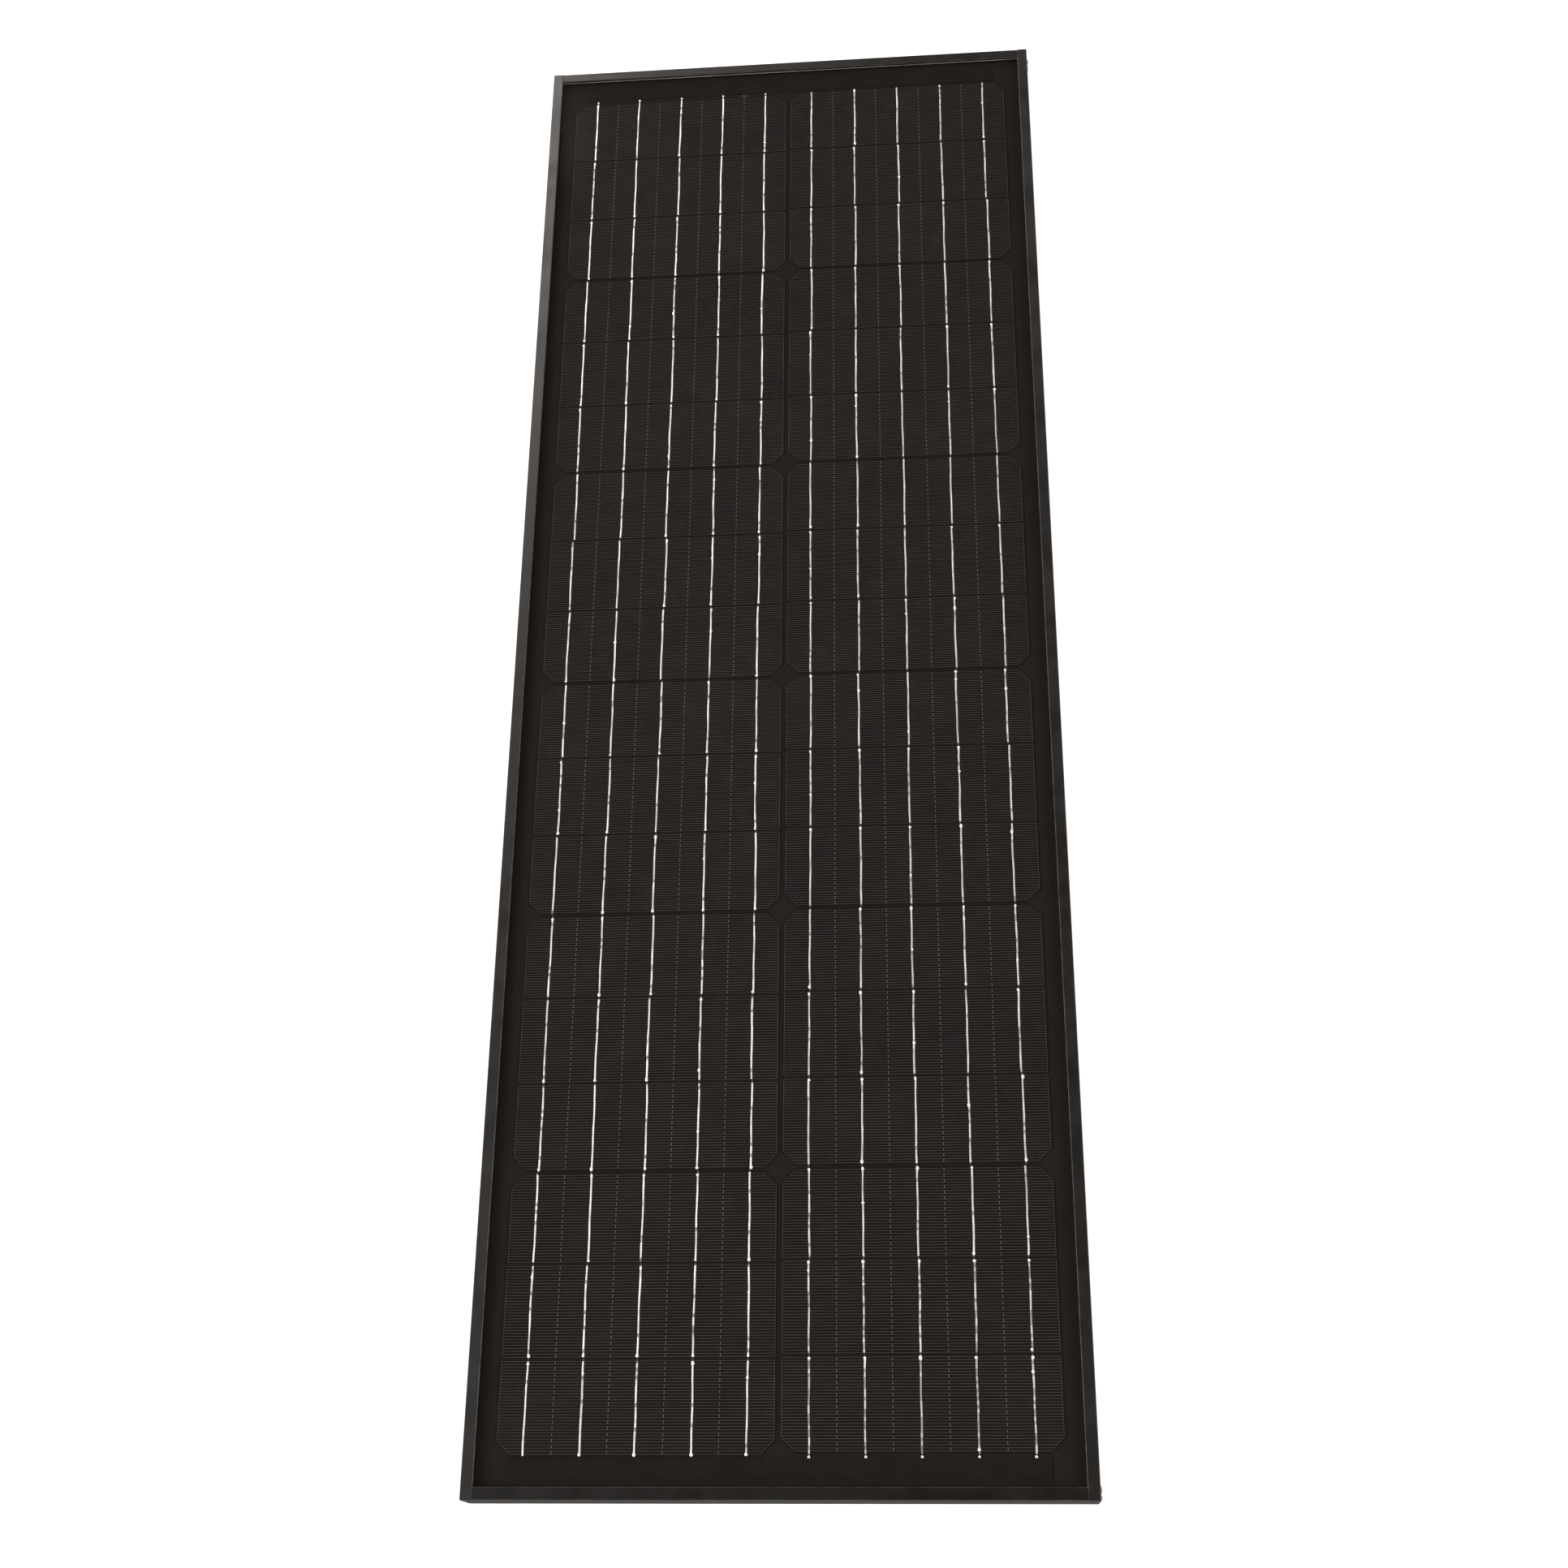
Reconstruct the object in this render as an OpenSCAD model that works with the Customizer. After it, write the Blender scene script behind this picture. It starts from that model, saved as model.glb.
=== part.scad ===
/* [Frame] */
// Overall width across the two long rails
panel_w = 350; // [346:1:380]
// Overall length over the end rails
panel_l = 1005; // [1002:1:1040]
// Depth of the frame, from rear flange to front lip
frame_h = 25; // [25:1:35]
// Width of the front lip that laps over the glass
lip_w = 7; // [6:0.5:9]
// Width of the rear mounting flange
flange_w = 18; // [17:0.5:24]
// Wall thickness of the aluminium extrusion
wall_t = 1.4; // [1.2:0.1:1.8]

/* [Laminate] */
// Thickness of the tempered front glass
glass_t = 3.2; // [2.5:0.1:3.2]
// Height of the groove that holds the laminate and its edge seal
groove_h = 5.8; // [5.8:0.1:6.5]
// Thickness of the seal under the laminate
seal_t = 0.6; // [0.4:0.1:0.6]

/* [Cells] */
// Width of a full wafer, and of each strip cut from it
cell_w = 156.75; // [150:0.25:156.75]
// Length of the corner cuts on a full wafer
cell_chamfer = 8.5; // [2:0.5:12]
// Strips cut from each wafer
strips_per_wafer = 3; // [2:1:4]
// Wafers in each of the two columns
wafers_per_column = 6; // [4:1:6]
// Gap between strips in a column
strip_gap = 0.95; // [0.8:0.05:1]
// Gap between the two columns
column_gap = 2.2; // [1.5:0.1:4]
// Conductor ribbons across each cell
ribbon_count = 5; // [2:1:6]
// Width of one ribbon
ribbon_w = 1; // [0.8:0.1:1.5]

/* [Junction box] */
// Width of the junction box
jbox_w = 110; // [100:1:130]
// Length of the junction box
jbox_l = 78; // [72:1:90]
// Bore of the seal that grips the cable
cable_bore_d = 6.2; // [5:0.1:6.4]
// Distance from the middle of the box to each gland
gland_x = 26; // [22:1:34]

/* [Mounting] */
// Distance between the two mounting slots of a long rail
slot_spacing = 600; // [300:10:800]
// Width of a mounting slot
slot_w = 7; // [5:0.5:8]
// End-to-end length of a mounting slot
slot_l = 11; // [9:0.5:14]
// Diameter of the earthing hole in each long rail
earth_d = 4.2; // [4:0.1:5]

/* [Hidden] */

$fn = 48;
eps = 0.01;
half_w = panel_w / 2;
half_l = panel_l / 2;

// Rail section
edge_chamfer = 0.4;
shelf_w = lip_w + 2;
lip_t = 1.5;
flange_t = 1.5;
flange_bead = 1.2;
flange_bead_h = 3;
groove_top = frame_h - lip_t;
shelf_top = groove_top - groove_h;
chamber_h = 7;
butt_gap = 0.1;
flange_mid = (wall_t + flange_w - flange_bead) / 2;
drain_d = 5;
drain_x = panel_w / 3;

// Corner screws
port_r = 1.85;
port_wall = 1.6;
port_slit = 1.4;
// How far a port's wall runs into the rail's own wall, shelf or flange
port_bite = 0.3;
port_reach = port_r + port_wall - port_bite;
port_u = wall_t + port_reach;
port_z = [shelf_top - lip_t - port_reach, flange_t + port_reach];
screw_r = 1.8;
screw_hole_r = 2.2;
screw_head_r = 4.2;
screw_head_t = 1.2;
screw_cross = [1, 4, 0.7];
screw_l = 16;

// Laminate layers, from the rear up
lam_gap = 0.8;
lam_w = panel_w - 2 * (wall_t + lam_gap);
lam_l = panel_l - 2 * (wall_t + lam_gap);
sheet_t = 0.3;
film_t = 0.45;
cell_t = 0.2;
seal_set_back = 0.4;
sheet_z = shelf_top + seal_t;
rear_film_z = sheet_z + sheet_t;
cell_z = rear_film_z + film_t;
cell_top = cell_z + cell_t;
glass_z = cell_top + film_t;

// Cell field
strip_h = cell_w / strips_per_wafer;
strip_pitch = strip_h + strip_gap;
strips = strips_per_wafer * wafers_per_column;
field_l = strips * strip_pitch - strip_gap;
column_x = (cell_w + column_gap) / 2;
left_shift = -1.1;
right_shift = 0.5;
ribbon_t = 0.2;
ribbon_pitch = 31.2 * cell_w / 156.75 * 4 / (ribbon_count - 1);
ribbon_groove = 0.1;
// Share of a strip's height that a ribbon runs along its rear
rear_share = 0.8;

// Bus ribbons and their black cover strips
bus_w = 5;
bus_y = half_l - 17;
bus_reach = 68;
bus_inner_x = 9;
bus_edge = bus_y + bus_w / 2;
cover_w = 300;
cover_l = 11.5;
cover_t = 0.15;
cover_y = half_l - 16.8;
cover_z = cell_top + ribbon_t;
cover_clear = 0.1;

// Leads from the bus ribbons to the terminals
lead_x = 32.5;
lead_w = 4;
lead_t = 0.15;
lead_run_z = rear_film_z + 0.05;
lead_foot = 8;
lead_clear = 0.2;
lead_slot_w = lead_w + 2;
lead_slot_l = 4;
lead_tail = 2;

// Rating label
label_size = [80, 50, 0.15];
label_drop = 120;

// Junction box
jbox_margin = 24.5;
jbox_depth = 14.9;
jbox_y = half_l - flange_w - jbox_margin - jbox_l / 2;
jbox_wall = 1.8;
jbox_floor = 1.6;
pad_t = 0.8;
pad_inset = 4;
pad_window = [jbox_w - 28, 12];
jbox_top = sheet_z - pad_t;
lid_t = 1.8;
lid_z = jbox_top - jbox_depth;
lid_top = lid_z + lid_t;
rim_gap = 0.2;
rim_z = lid_top + rim_gap;
gasket_w = 0.8;
gasket_h = 0.7;
floor_z = jbox_top - jbox_floor;
jbox_y0 = jbox_y - jbox_l / 2;
jbox_y1 = jbox_y + jbox_l / 2;
slot_y = jbox_y + 20;
tab_w = 16;
tab_t = 1.4;
tab_h = 7;
tab_gap = 0.3;
// Grooves in the lid, lid_groove_side of them on each side of the middle one
lid_groove_w = 2;
lid_groove_depth = 0.5;
lid_groove_pitch = 12;
lid_groove_side = 3;
lid_groove_margin = 12;
vent_r = 2;
vent_head_r = 3.5;
vent_head_t = 1.5;

// Lid hinge
hinge_r = 2.4;
hinge_pin_r = 1.2;
hinge_bore_r = 1.25;
hinge_gap = 0.3;
hinge_y = jbox_y1 + hinge_r + hinge_gap;
hinge_z = lid_z + hinge_r;
hinge_ear = 9;
hinge_barrel = 60;
// How far an ear's web runs into the box's wall
hinge_web = 0.5;

// Terminals
plate_w = 12;
plate_l = 26;
plate_t = 0.8;
plate_z = floor_z - 2.5;
plate_y = slot_y - 15;
post_w = 9;
core_screw_r = 1.5;
core_screw_l = 2.6;
core_screw_back = 8;
core_head_t = 2;
core_head_r = 3;
core_slot = 0.8;

// Bypass diode
diode_r = 2.2;
diode_l = 9;
diode_wire_r = 0.5;

// Cable glands
gland_z = lid_z + 7;
thread_r = 6;
thread_l = 8;
throat_r = 4.1;
nut_clear = 0.05;
nut_af = 14.6;
nut_start = 1;
nut_l = 11.6;
nut_end_t = 2;
ring_t = 1.8;
ring_r = 5.4;
cable_r = cable_bore_d / 2;

function strip_top(i, shift) = field_l / 2 + shift - i * strip_pitch;
function ribbon_x(i) = (i - (ribbon_count - 1) / 2) * ribbon_pitch;
function first_of_wafer(i) = i % strips_per_wafer == 0;
function last_of_wafer(i) = i % strips_per_wafer == strips_per_wafer - 1;

module box(size, centre_x = 0, centre_y = 0, low_z = 0) {
    translate([centre_x - size[0] / 2, centre_y - size[1] / 2, low_z]) cube(size);
}

// Runs a section drawn in (y, z) along x, centred on x = middle
module along_x(length, middle = 0) {
    translate([middle - length / 2, 0, 0])
        rotate([90, 0, 90]) linear_extrude(length) children();
}

// ---- Frame rails ----

// Wall and front lip, with lightly broken outer edges
module wall_and_lip() {
    polygon([
        [0, 0], [wall_t, 0], [wall_t, groove_top], [lip_w, groove_top],
        [lip_w, frame_h - edge_chamfer], [lip_w - edge_chamfer, frame_h],
        [edge_chamfer, frame_h], [0, frame_h - edge_chamfer]
    ]);
}

module shelf_and_flange() {
    translate([0, shelf_top - lip_t]) square([shelf_w, lip_t]);
    square([flange_w, flange_t]);
    translate([flange_w - flange_bead, 0]) square([flange_bead, flange_bead_h]);
}

// Hollow chamber that stiffens a long rail under its shelf
module chamber() {
    chamber_z = shelf_top - lip_t - chamber_h;
    translate([shelf_w - wall_t, chamber_z]) square([wall_t, chamber_h + eps]);
    translate([0, chamber_z]) square([shelf_w, wall_t]);
}

module screw_port(z) {
    difference() {
        translate([port_u, z]) circle(r = port_r + port_wall);
        translate([port_u, z]) circle(r = port_r);
        translate([port_u, z - port_slit / 2]) square([port_r + port_wall + eps, port_slit]);
    }
}

module mounting_slot() {
    reach = (slot_l - slot_w) / 2;
    for (side = [-1, 1])
        translate([0, side * reach, -1]) cylinder(h = flange_t + 2, d = slot_w);
    translate([-slot_w / 2, -reach, -1]) cube([slot_w, 2 * reach, flange_t + 2]);
}

module long_rail() {
    difference() {
        translate([-half_w, half_l, 0]) rotate([90, 0, 0]) linear_extrude(panel_l) {
            wall_and_lip();
            shelf_and_flange();
            chamber();
        }
        for (end = [-1, 1]) {
            // Room for the end rail's shelf, chamber side and flange
            box([flange_w, 2 * (shelf_w + butt_gap), 3 * lip_t],
                -half_w + wall_t + flange_w / 2, end * half_l, shelf_top - 3 * lip_t);
            box([flange_w, 2 * (flange_w + butt_gap), shelf_top - lip_t + 2],
                -half_w + wall_t + flange_w / 2, end * half_l, -2);
            for (z = port_z)
                translate([-half_w - 1, end * (half_l - port_u), z])
                    rotate([0, 90, 0]) cylinder(h = wall_t + 2, r = screw_hole_r);
            translate([-half_w + flange_mid, end * slot_spacing / 2, 0]) mounting_slot();
        }
        translate([-half_w + flange_mid, 0, -1]) cylinder(h = flange_t + 2, d = earth_d);
    }
}

module left_rail() {
    color("#2b2927") long_rail();
}

module right_rail() {
    color("#2b2927") mirror([1, 0, 0]) long_rail();
}

module end_rail() {
    difference() {
        translate([0, -half_l, 0]) along_x(panel_w - 2 * wall_t) {
            wall_and_lip();
            shelf_and_flange();
            for (z = port_z) screw_port(z);
        }
        // The lip stops at the long rails' lips, and the wall passes under them
        for (side = [-1, 1])
            box([2 * lip_w + 2 * butt_gap, 3 * lip_w, 3 * lip_t],
                side * half_w, -half_l, groove_top - eps);
        // Drain holes
        for (side = [-1, 1])
            translate([side * drain_x, -half_l + flange_mid, -1])
                cylinder(h = flange_t + 2, d = drain_d);
    }
}

module top_rail() {
    color("#2b2927") mirror([0, 1, 0]) end_rail();
}

module bottom_rail() {
    color("#2b2927") end_rail();
}

// Self-tapping screw along +x, its head outside the long rail
module corner_screw() {
    rotate([0, 90, 0]) cylinder(h = screw_l, r = screw_r);
    difference() {
        rotate([0, -90, 0]) cylinder(h = screw_head_t, r1 = screw_head_r, r2 = screw_head_r - 0.5);
        for (turn = [0, 90])
            rotate([turn, 0, 0])
                translate([-screw_head_t - 0.2, -screw_cross[1] / 2, -screw_cross[2] / 2])
                    cube(screw_cross);
    }
}

module corner_screws() {
    color("#8d8f92")
        for (side = [0, 1], end = [-1, 1], z = port_z)
            mirror([side, 0, 0]) translate([-half_w, end * (half_l - port_u), z]) corner_screw();
}

// U-shaped sealing tape round the edge of the laminate
module edge_seal() {
    color("#161514") difference() {
        box([panel_w - 2 * wall_t, panel_l - 2 * wall_t, groove_h], 0, 0, shelf_top);
        box([lam_w, lam_l, groove_h - 2 * seal_t], 0, 0, sheet_z);
        box([panel_w - 2 * (lip_w - seal_set_back), panel_l - 2 * (lip_w - seal_set_back),
             groove_h + 2], 0, 0, shelf_top - 1);
    }
}

// ---- Laminate ----

module front_glass() {
    color("#9fb4b0", 0.3) box([lam_w, lam_l, glass_t], 0, 0, glass_z);
}

// Straight grooves that the ribbons lie in, at height z
module ribbon_grooves(z, depth) {
    for (side = [-1, 1], i = [0 : ribbon_count - 1])
        box([ribbon_w + 2 * ribbon_groove, 2 * bus_y + bus_w, depth],
            side * column_x + ribbon_x(i), 0, z);
}

module front_encapsulant() {
    color("#dfe3df", 0.25) difference() {
        box([lam_w, lam_l, film_t + cell_t], 0, 0, cell_z);
        box([cell_w + eps, field_l + 2 * eps, cell_t + 1], -column_x, left_shift, cell_z - 1);
        box([cell_w + eps, field_l + 2 * eps, cell_t + 1], column_x, right_shift, cell_z - 1);
        ribbon_grooves(cell_z - 1, cell_t + ribbon_t + 1);
        for (end = [-1, 1]) {
            box([cover_w, bus_w + 2 * ribbon_groove, cell_t + 1], 0, end * bus_y, cell_z - 1);
            box([cover_w, cover_l, cover_t], 0, end * cover_y, cover_z);
        }
    }
}

// One strip of a pseudo-square wafer, its top edge at y = 0
module cell_strip(cut_top, cut_bottom) {
    top = cut_top ? cell_chamfer : 0;
    bottom = cut_bottom ? cell_chamfer : 0;
    half = cell_w / 2;
    linear_extrude(cell_t) polygon([
        [-half + top, 0], [half - top, 0],
        if (cut_top) [half, -top],
        if (cut_bottom) [half, bottom - strip_h],
        [half - bottom, -strip_h], [-half + bottom, -strip_h],
        if (cut_bottom) [-half, bottom - strip_h],
        if (cut_top) [-half, -top]
    ]);
}

module cell_string(centre_x, shift) {
    for (i = [0 : strips - 1])
        translate([centre_x, strip_top(i, shift), cell_z])
            cell_strip(first_of_wafer(i), last_of_wafer(i));
}

module left_cell_string() {
    color("#1f1d1c") cell_string(-column_x, left_shift);
}

module right_cell_string() {
    color("#1f1d1c") cell_string(column_x, right_shift);
}

// Ribbon on the front of strip i that steps down to the rear of the strip above it
module stepped_ribbon(i, shift) {
    top = strip_top(i, shift);
    low = top - strip_h + 1;
    step_a = top + strip_gap * 0.35;
    step_b = top + strip_gap * 0.65;
    far = top + strip_gap + strip_h * rear_share;
    along_x(ribbon_w) polygon([
        [low, cell_top], [step_a, cell_top], [step_a, cell_z - ribbon_t],
        [far, cell_z - ribbon_t], [far, cell_z], [step_b, cell_z],
        [step_b, cell_top + ribbon_t], [low, cell_top + ribbon_t]
    ]);
}

// Ribbons of a column whose first strip feeds the bus beyond its top edge
module column_ribbons(shift) {
    first_low = strip_top(0, shift) - strip_h + 1;
    last_far = strip_top(strips - 1, shift) - strip_h + strip_h * rear_share;
    for (n = [0 : ribbon_count - 1]) translate([ribbon_x(n) - column_x, 0, 0]) {
        for (i = [1 : strips - 1]) stepped_ribbon(i, shift);
        box([ribbon_w, bus_edge - first_low, ribbon_t], 0, (bus_edge + first_low) / 2, cell_top);
        box([ribbon_w, last_far + bus_edge, ribbon_t],
            0, (last_far - bus_edge) / 2, cell_z - ribbon_t);
    }
}

module left_ribbons() {
    color("#d9d5d1") column_ribbons(left_shift);
}

module right_ribbons() {
    color("#d9d5d1") rotate([0, 0, 180]) column_ribbons(-right_shift);
}

module top_bus_ribbons() {
    width = column_x + bus_reach - bus_inner_x;
    color("#b9b5b0") for (side = [-1, 1])
        box([width, bus_w, cell_t], side * (bus_inner_x + width / 2), bus_y, cell_z);
}

module bottom_bus_ribbon() {
    color("#b9b5b0") box([2 * (column_x + bus_reach), bus_w, cell_t], 0, -bus_y, cell_z);
}

module cover_strip(y) {
    box([cover_w - 2 * cover_clear, cover_l - 2 * cover_clear, cover_t], 0, y, cover_z);
}

module top_cover_strip() {
    color("#2a2725") cover_strip(cover_y);
}

module bottom_cover_strip() {
    color("#2a2725") cover_strip(-cover_y);
}

module rear_encapsulant() {
    lead_l = bus_edge - slot_y + lead_tail;
    color("#dfe3df", 0.5) difference() {
        box([lam_w, lam_l, film_t], 0, 0, rear_film_z);
        ribbon_grooves(cell_z - ribbon_t, ribbon_t + 1);
        for (side = [-1, 1])
            box([lead_w + 2 * lead_clear, lead_l, film_t + 2],
                side * lead_x, slot_y - lead_tail + lead_l / 2, rear_film_z - 1);
    }
}

module lead_slots(low_z, height) {
    for (side = [-1, 1])
        box([lead_slot_w, lead_slot_l, height], side * lead_x, slot_y, low_z);
}

module backsheet() {
    color("#23211f") difference() {
        box([lam_w, lam_l, sheet_t], 0, 0, sheet_z);
        lead_slots(sheet_z - 1, sheet_t + 2);
    }
}

// Flat copper lead from a bus ribbon, behind the cells, down to its terminal plate
module bus_leads() {
    bus_end = bus_edge - 0.5;
    foot_z = plate_z - lead_t;
    color("#c08a5c") for (side = [-1, 1]) along_x(lead_w, side * lead_x) polygon([
        [bus_end, cell_z], [bus_end, lead_run_z], [slot_y + lead_t, lead_run_z],
        [slot_y + lead_t, foot_z], [slot_y - lead_foot, foot_z], [slot_y - lead_foot, plate_z],
        [slot_y, plate_z], [slot_y, lead_run_z + lead_t],
        [bus_end - lead_t, lead_run_z + lead_t], [bus_end - lead_t, cell_z]
    ]);
}

// Rating plate without any marking
module blank_label() {
    color("#d8d8d4") box(label_size, 0, jbox_y - label_drop, sheet_z - label_size[2]);
}

// ---- Junction box ----

module jbox_pad() {
    color("#3a3a3a") difference() {
        box([jbox_w - 2 * pad_inset, jbox_l - 2 * pad_inset, pad_t], 0, jbox_y, jbox_top);
        box([pad_window[0], pad_window[1], pad_t + 2], 0, slot_y, jbox_top - 1);
    }
}

// Runs a cylinder along y, from y0 to y1
module rod_y(r, y0, y1, x = 0, z = 0) {
    translate([x, y1, z]) rotate([90, 0, 0]) cylinder(h = y1 - y0, r = r);
}

module rod_x(r, length, y, z) {
    translate([-length / 2, y, z]) rotate([0, 90, 0]) cylinder(h = length, r = r);
}

module hinge_ears() {
    web_l = hinge_r + hinge_gap + hinge_web;
    for (side = [-1, 1]) {
        ear_x = side * (hinge_barrel / 2 + hinge_gap + hinge_ear / 2);
        translate([ear_x, 0, 0]) difference() {
            union() {
                rod_x(hinge_r, hinge_ear, hinge_y, hinge_z);
                box([hinge_ear, web_l, 2 * hinge_r], 0, hinge_y - web_l / 2, rim_z);
            }
            rod_x(hinge_pin_r, hinge_ear + 2, hinge_y, hinge_z);
        }
    }
}

// Open tray, its mouth facing the rear, with two threaded cable spigots
module jbox_base() {
    inner_w = jbox_w - 2 * jbox_wall;
    inner_l = jbox_l - 2 * jbox_wall;
    color("#191919") difference() {
        union() {
            box([jbox_w, jbox_l, jbox_top - rim_z], 0, jbox_y, rim_z);
            hinge_ears();
            for (side = [-1, 1])
                rod_y(thread_r, jbox_y0 - thread_l, jbox_y0, side * gland_x, gland_z);
        }
        difference() {
            box([inner_w, inner_l, floor_z - rim_z + 1], 0, jbox_y, rim_z - 1);
            for (side = [-1, 1])
                box([post_w, plate_l - 4, floor_z], side * lead_x, plate_y, plate_z + plate_t);
        }
        // Groove for the gasket in the rim
        difference() {
            box([jbox_w - jbox_wall + gasket_w, jbox_l - jbox_wall + gasket_w, gasket_h],
                0, jbox_y, lid_top);
            box([jbox_w - jbox_wall - gasket_w, jbox_l - jbox_wall - gasket_w,
                 gasket_h + 2], 0, jbox_y, rim_z - 1);
        }
        lead_slots(floor_z - 1, jbox_floor + 2);
        for (side = [-1, 1]) {
            rod_y(throat_r, jbox_y0 - thread_l - 1, jbox_y0 + jbox_wall + 1,
                  side * gland_x, gland_z);
            translate([side * lead_x, plate_y - core_screw_back, plate_z])
                cylinder(h = core_screw_l, r = core_screw_r);
        }
        translate([jbox_w / 2 - jbox_wall - 1, jbox_y, gland_z])
            rotate([0, 90, 0]) cylinder(h = jbox_wall + 2, r = vent_r);
    }
}

module jbox_lid() {
    color("#1d1d1d") difference() {
        union() {
            box([jbox_w, jbox_l, lid_t], 0, jbox_y, lid_z);
            rod_x(hinge_r, hinge_barrel, hinge_y, hinge_z);
            box([hinge_barrel, hinge_y - jbox_y1, lid_t],
                0, (hinge_y + jbox_y1) / 2, lid_z);
            // Finger tab that hooks over the front wall
            box([tab_w, tab_t, tab_h], 0, jbox_y0 - tab_gap - tab_t / 2, lid_z);
            box([tab_w, tab_gap + tab_t, lid_t], 0, jbox_y0 - tab_gap / 2, lid_z);
        }
        rod_x(hinge_bore_r, hinge_barrel + 2, hinge_y, hinge_z);
        // Shallow grooves in the outside of the lid
        for (i = [-lid_groove_side : lid_groove_side])
            box([lid_groove_w, jbox_l - 2 * lid_groove_margin, lid_groove_depth],
                i * lid_groove_pitch, jbox_y, lid_z - eps);
    }
}

module lid_gasket() {
    outer = jbox_wall - gasket_w;
    color("#4a4a48") difference() {
        box([jbox_w - outer - 0.1, jbox_l - outer - 0.1, gasket_h], 0, jbox_y, lid_top);
        box([jbox_w - outer - 2 * gasket_w + 0.1, jbox_l - outer - 2 * gasket_w + 0.1,
             gasket_h + 2], 0, jbox_y, lid_top - 1);
    }
}

module lid_hinge_pin() {
    color("#a8a8a8")
        rod_x(hinge_pin_r, hinge_barrel + 2 * (hinge_gap + hinge_ear), hinge_y, hinge_z);
}

module terminal_plates() {
    color("#c9a36a") for (side = [-1, 1]) difference() {
        box([plate_w, plate_l, plate_t], side * lead_x, plate_y, plate_z);
        translate([side * lead_x, plate_y - core_screw_back, plate_z - 1])
            cylinder(h = plate_t + 2, r = core_screw_r + 0.1);
    }
}

module terminal_screws() {
    color("#b8b8bc") for (side = [-1, 1])
        translate([side * lead_x, plate_y - core_screw_back, plate_z]) {
            cylinder(h = core_screw_l, r = core_screw_r);
            translate([0, 0, -core_head_t]) difference() {
                cylinder(h = core_head_t, r = core_head_r);
                box([2 * core_head_r + 2, core_slot, core_slot], 0, 0, -eps);
            }
        }
}

// Axial diode across the two terminals
module bypass_diode() {
    wire_l = 2 * lead_x - plate_w / 2;
    z = plate_z - diode_wire_r;
    color("#2a2a2a") {
        rod_x(diode_wire_r, wire_l, plate_y + 2, z);
        rod_x(diode_r, diode_l, plate_y + 2, z);
    }
}

module vent_plug() {
    color("#101010") translate([jbox_w / 2, jbox_y, gland_z]) rotate([0, 90, 0]) {
        cylinder(h = vent_head_t, r = vent_head_r);
        translate([0, 0, -jbox_wall]) cylinder(h = jbox_wall + eps, r = vent_r - 0.02);
    }
}

// ---- Cable glands, each pointing along -y from the box's front wall ----

module gland_seal(x) {
    color("#2c2c2a") difference() {
        rod_y(throat_r - 0.03, jbox_y0 - thread_l - 0.5, jbox_y0 + 1, x, gland_z);
        rod_y(cable_r, jbox_y0 - thread_l - 2, jbox_y0 + 3, x, gland_z);
    }
}

module gland_ring(x) {
    ring_end = jbox_y0 - nut_start - nut_l + nut_end_t + 0.1;
    color("#8c8c88") difference() {
        rod_y(ring_r, ring_end, ring_end + ring_t, x, gland_z);
        rod_y(cable_r + 0.2, ring_end - 1, ring_end + ring_t + 1, x, gland_z);
    }
}

module gland_nut(x) {
    near = jbox_y0 - nut_start;
    far = near - nut_l;
    color("#1b1b1b") difference() {
        translate([x, near, gland_z]) rotate([90, 0, 0])
            cylinder(h = nut_l, d = nut_af / cos(30), $fn = 6);
        rod_y(thread_r + nut_clear, far + nut_end_t, near + 1, x, gland_z);
        rod_y(cable_r + 0.5, far - 1, near, x, gland_z);
    }
}

module gland_a_seal() {
    gland_seal(-gland_x);
}

module gland_a_ring() {
    gland_ring(-gland_x);
}

module gland_a_nut() {
    gland_nut(-gland_x);
}

module gland_b_seal() {
    gland_seal(gland_x);
}

module gland_b_ring() {
    gland_ring(gland_x);
}

module gland_b_nut() {
    gland_nut(gland_x);
}

left_rail();
right_rail();
top_rail();
bottom_rail();
corner_screws();
edge_seal();
front_glass();
front_encapsulant();
left_cell_string();
right_cell_string();
left_ribbons();
right_ribbons();
top_bus_ribbons();
bottom_bus_ribbon();
top_cover_strip();
bottom_cover_strip();
rear_encapsulant();
backsheet();
bus_leads();
blank_label();
jbox_pad();
jbox_base();
jbox_lid();
lid_gasket();
lid_hinge_pin();
terminal_plates();
terminal_screws();
bypass_diode();
vent_plug();
gland_a_seal();
gland_a_ring();
gland_a_nut();
gland_b_seal();
gland_b_ring();
gland_b_nut();
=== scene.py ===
"""A slim framed solar panel: cells, ribbons, glass, frame and junction box, dressed on the CAD frame."""

import math
import random

import bmesh
import bpy
from mathutils import Matrix, Vector


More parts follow.
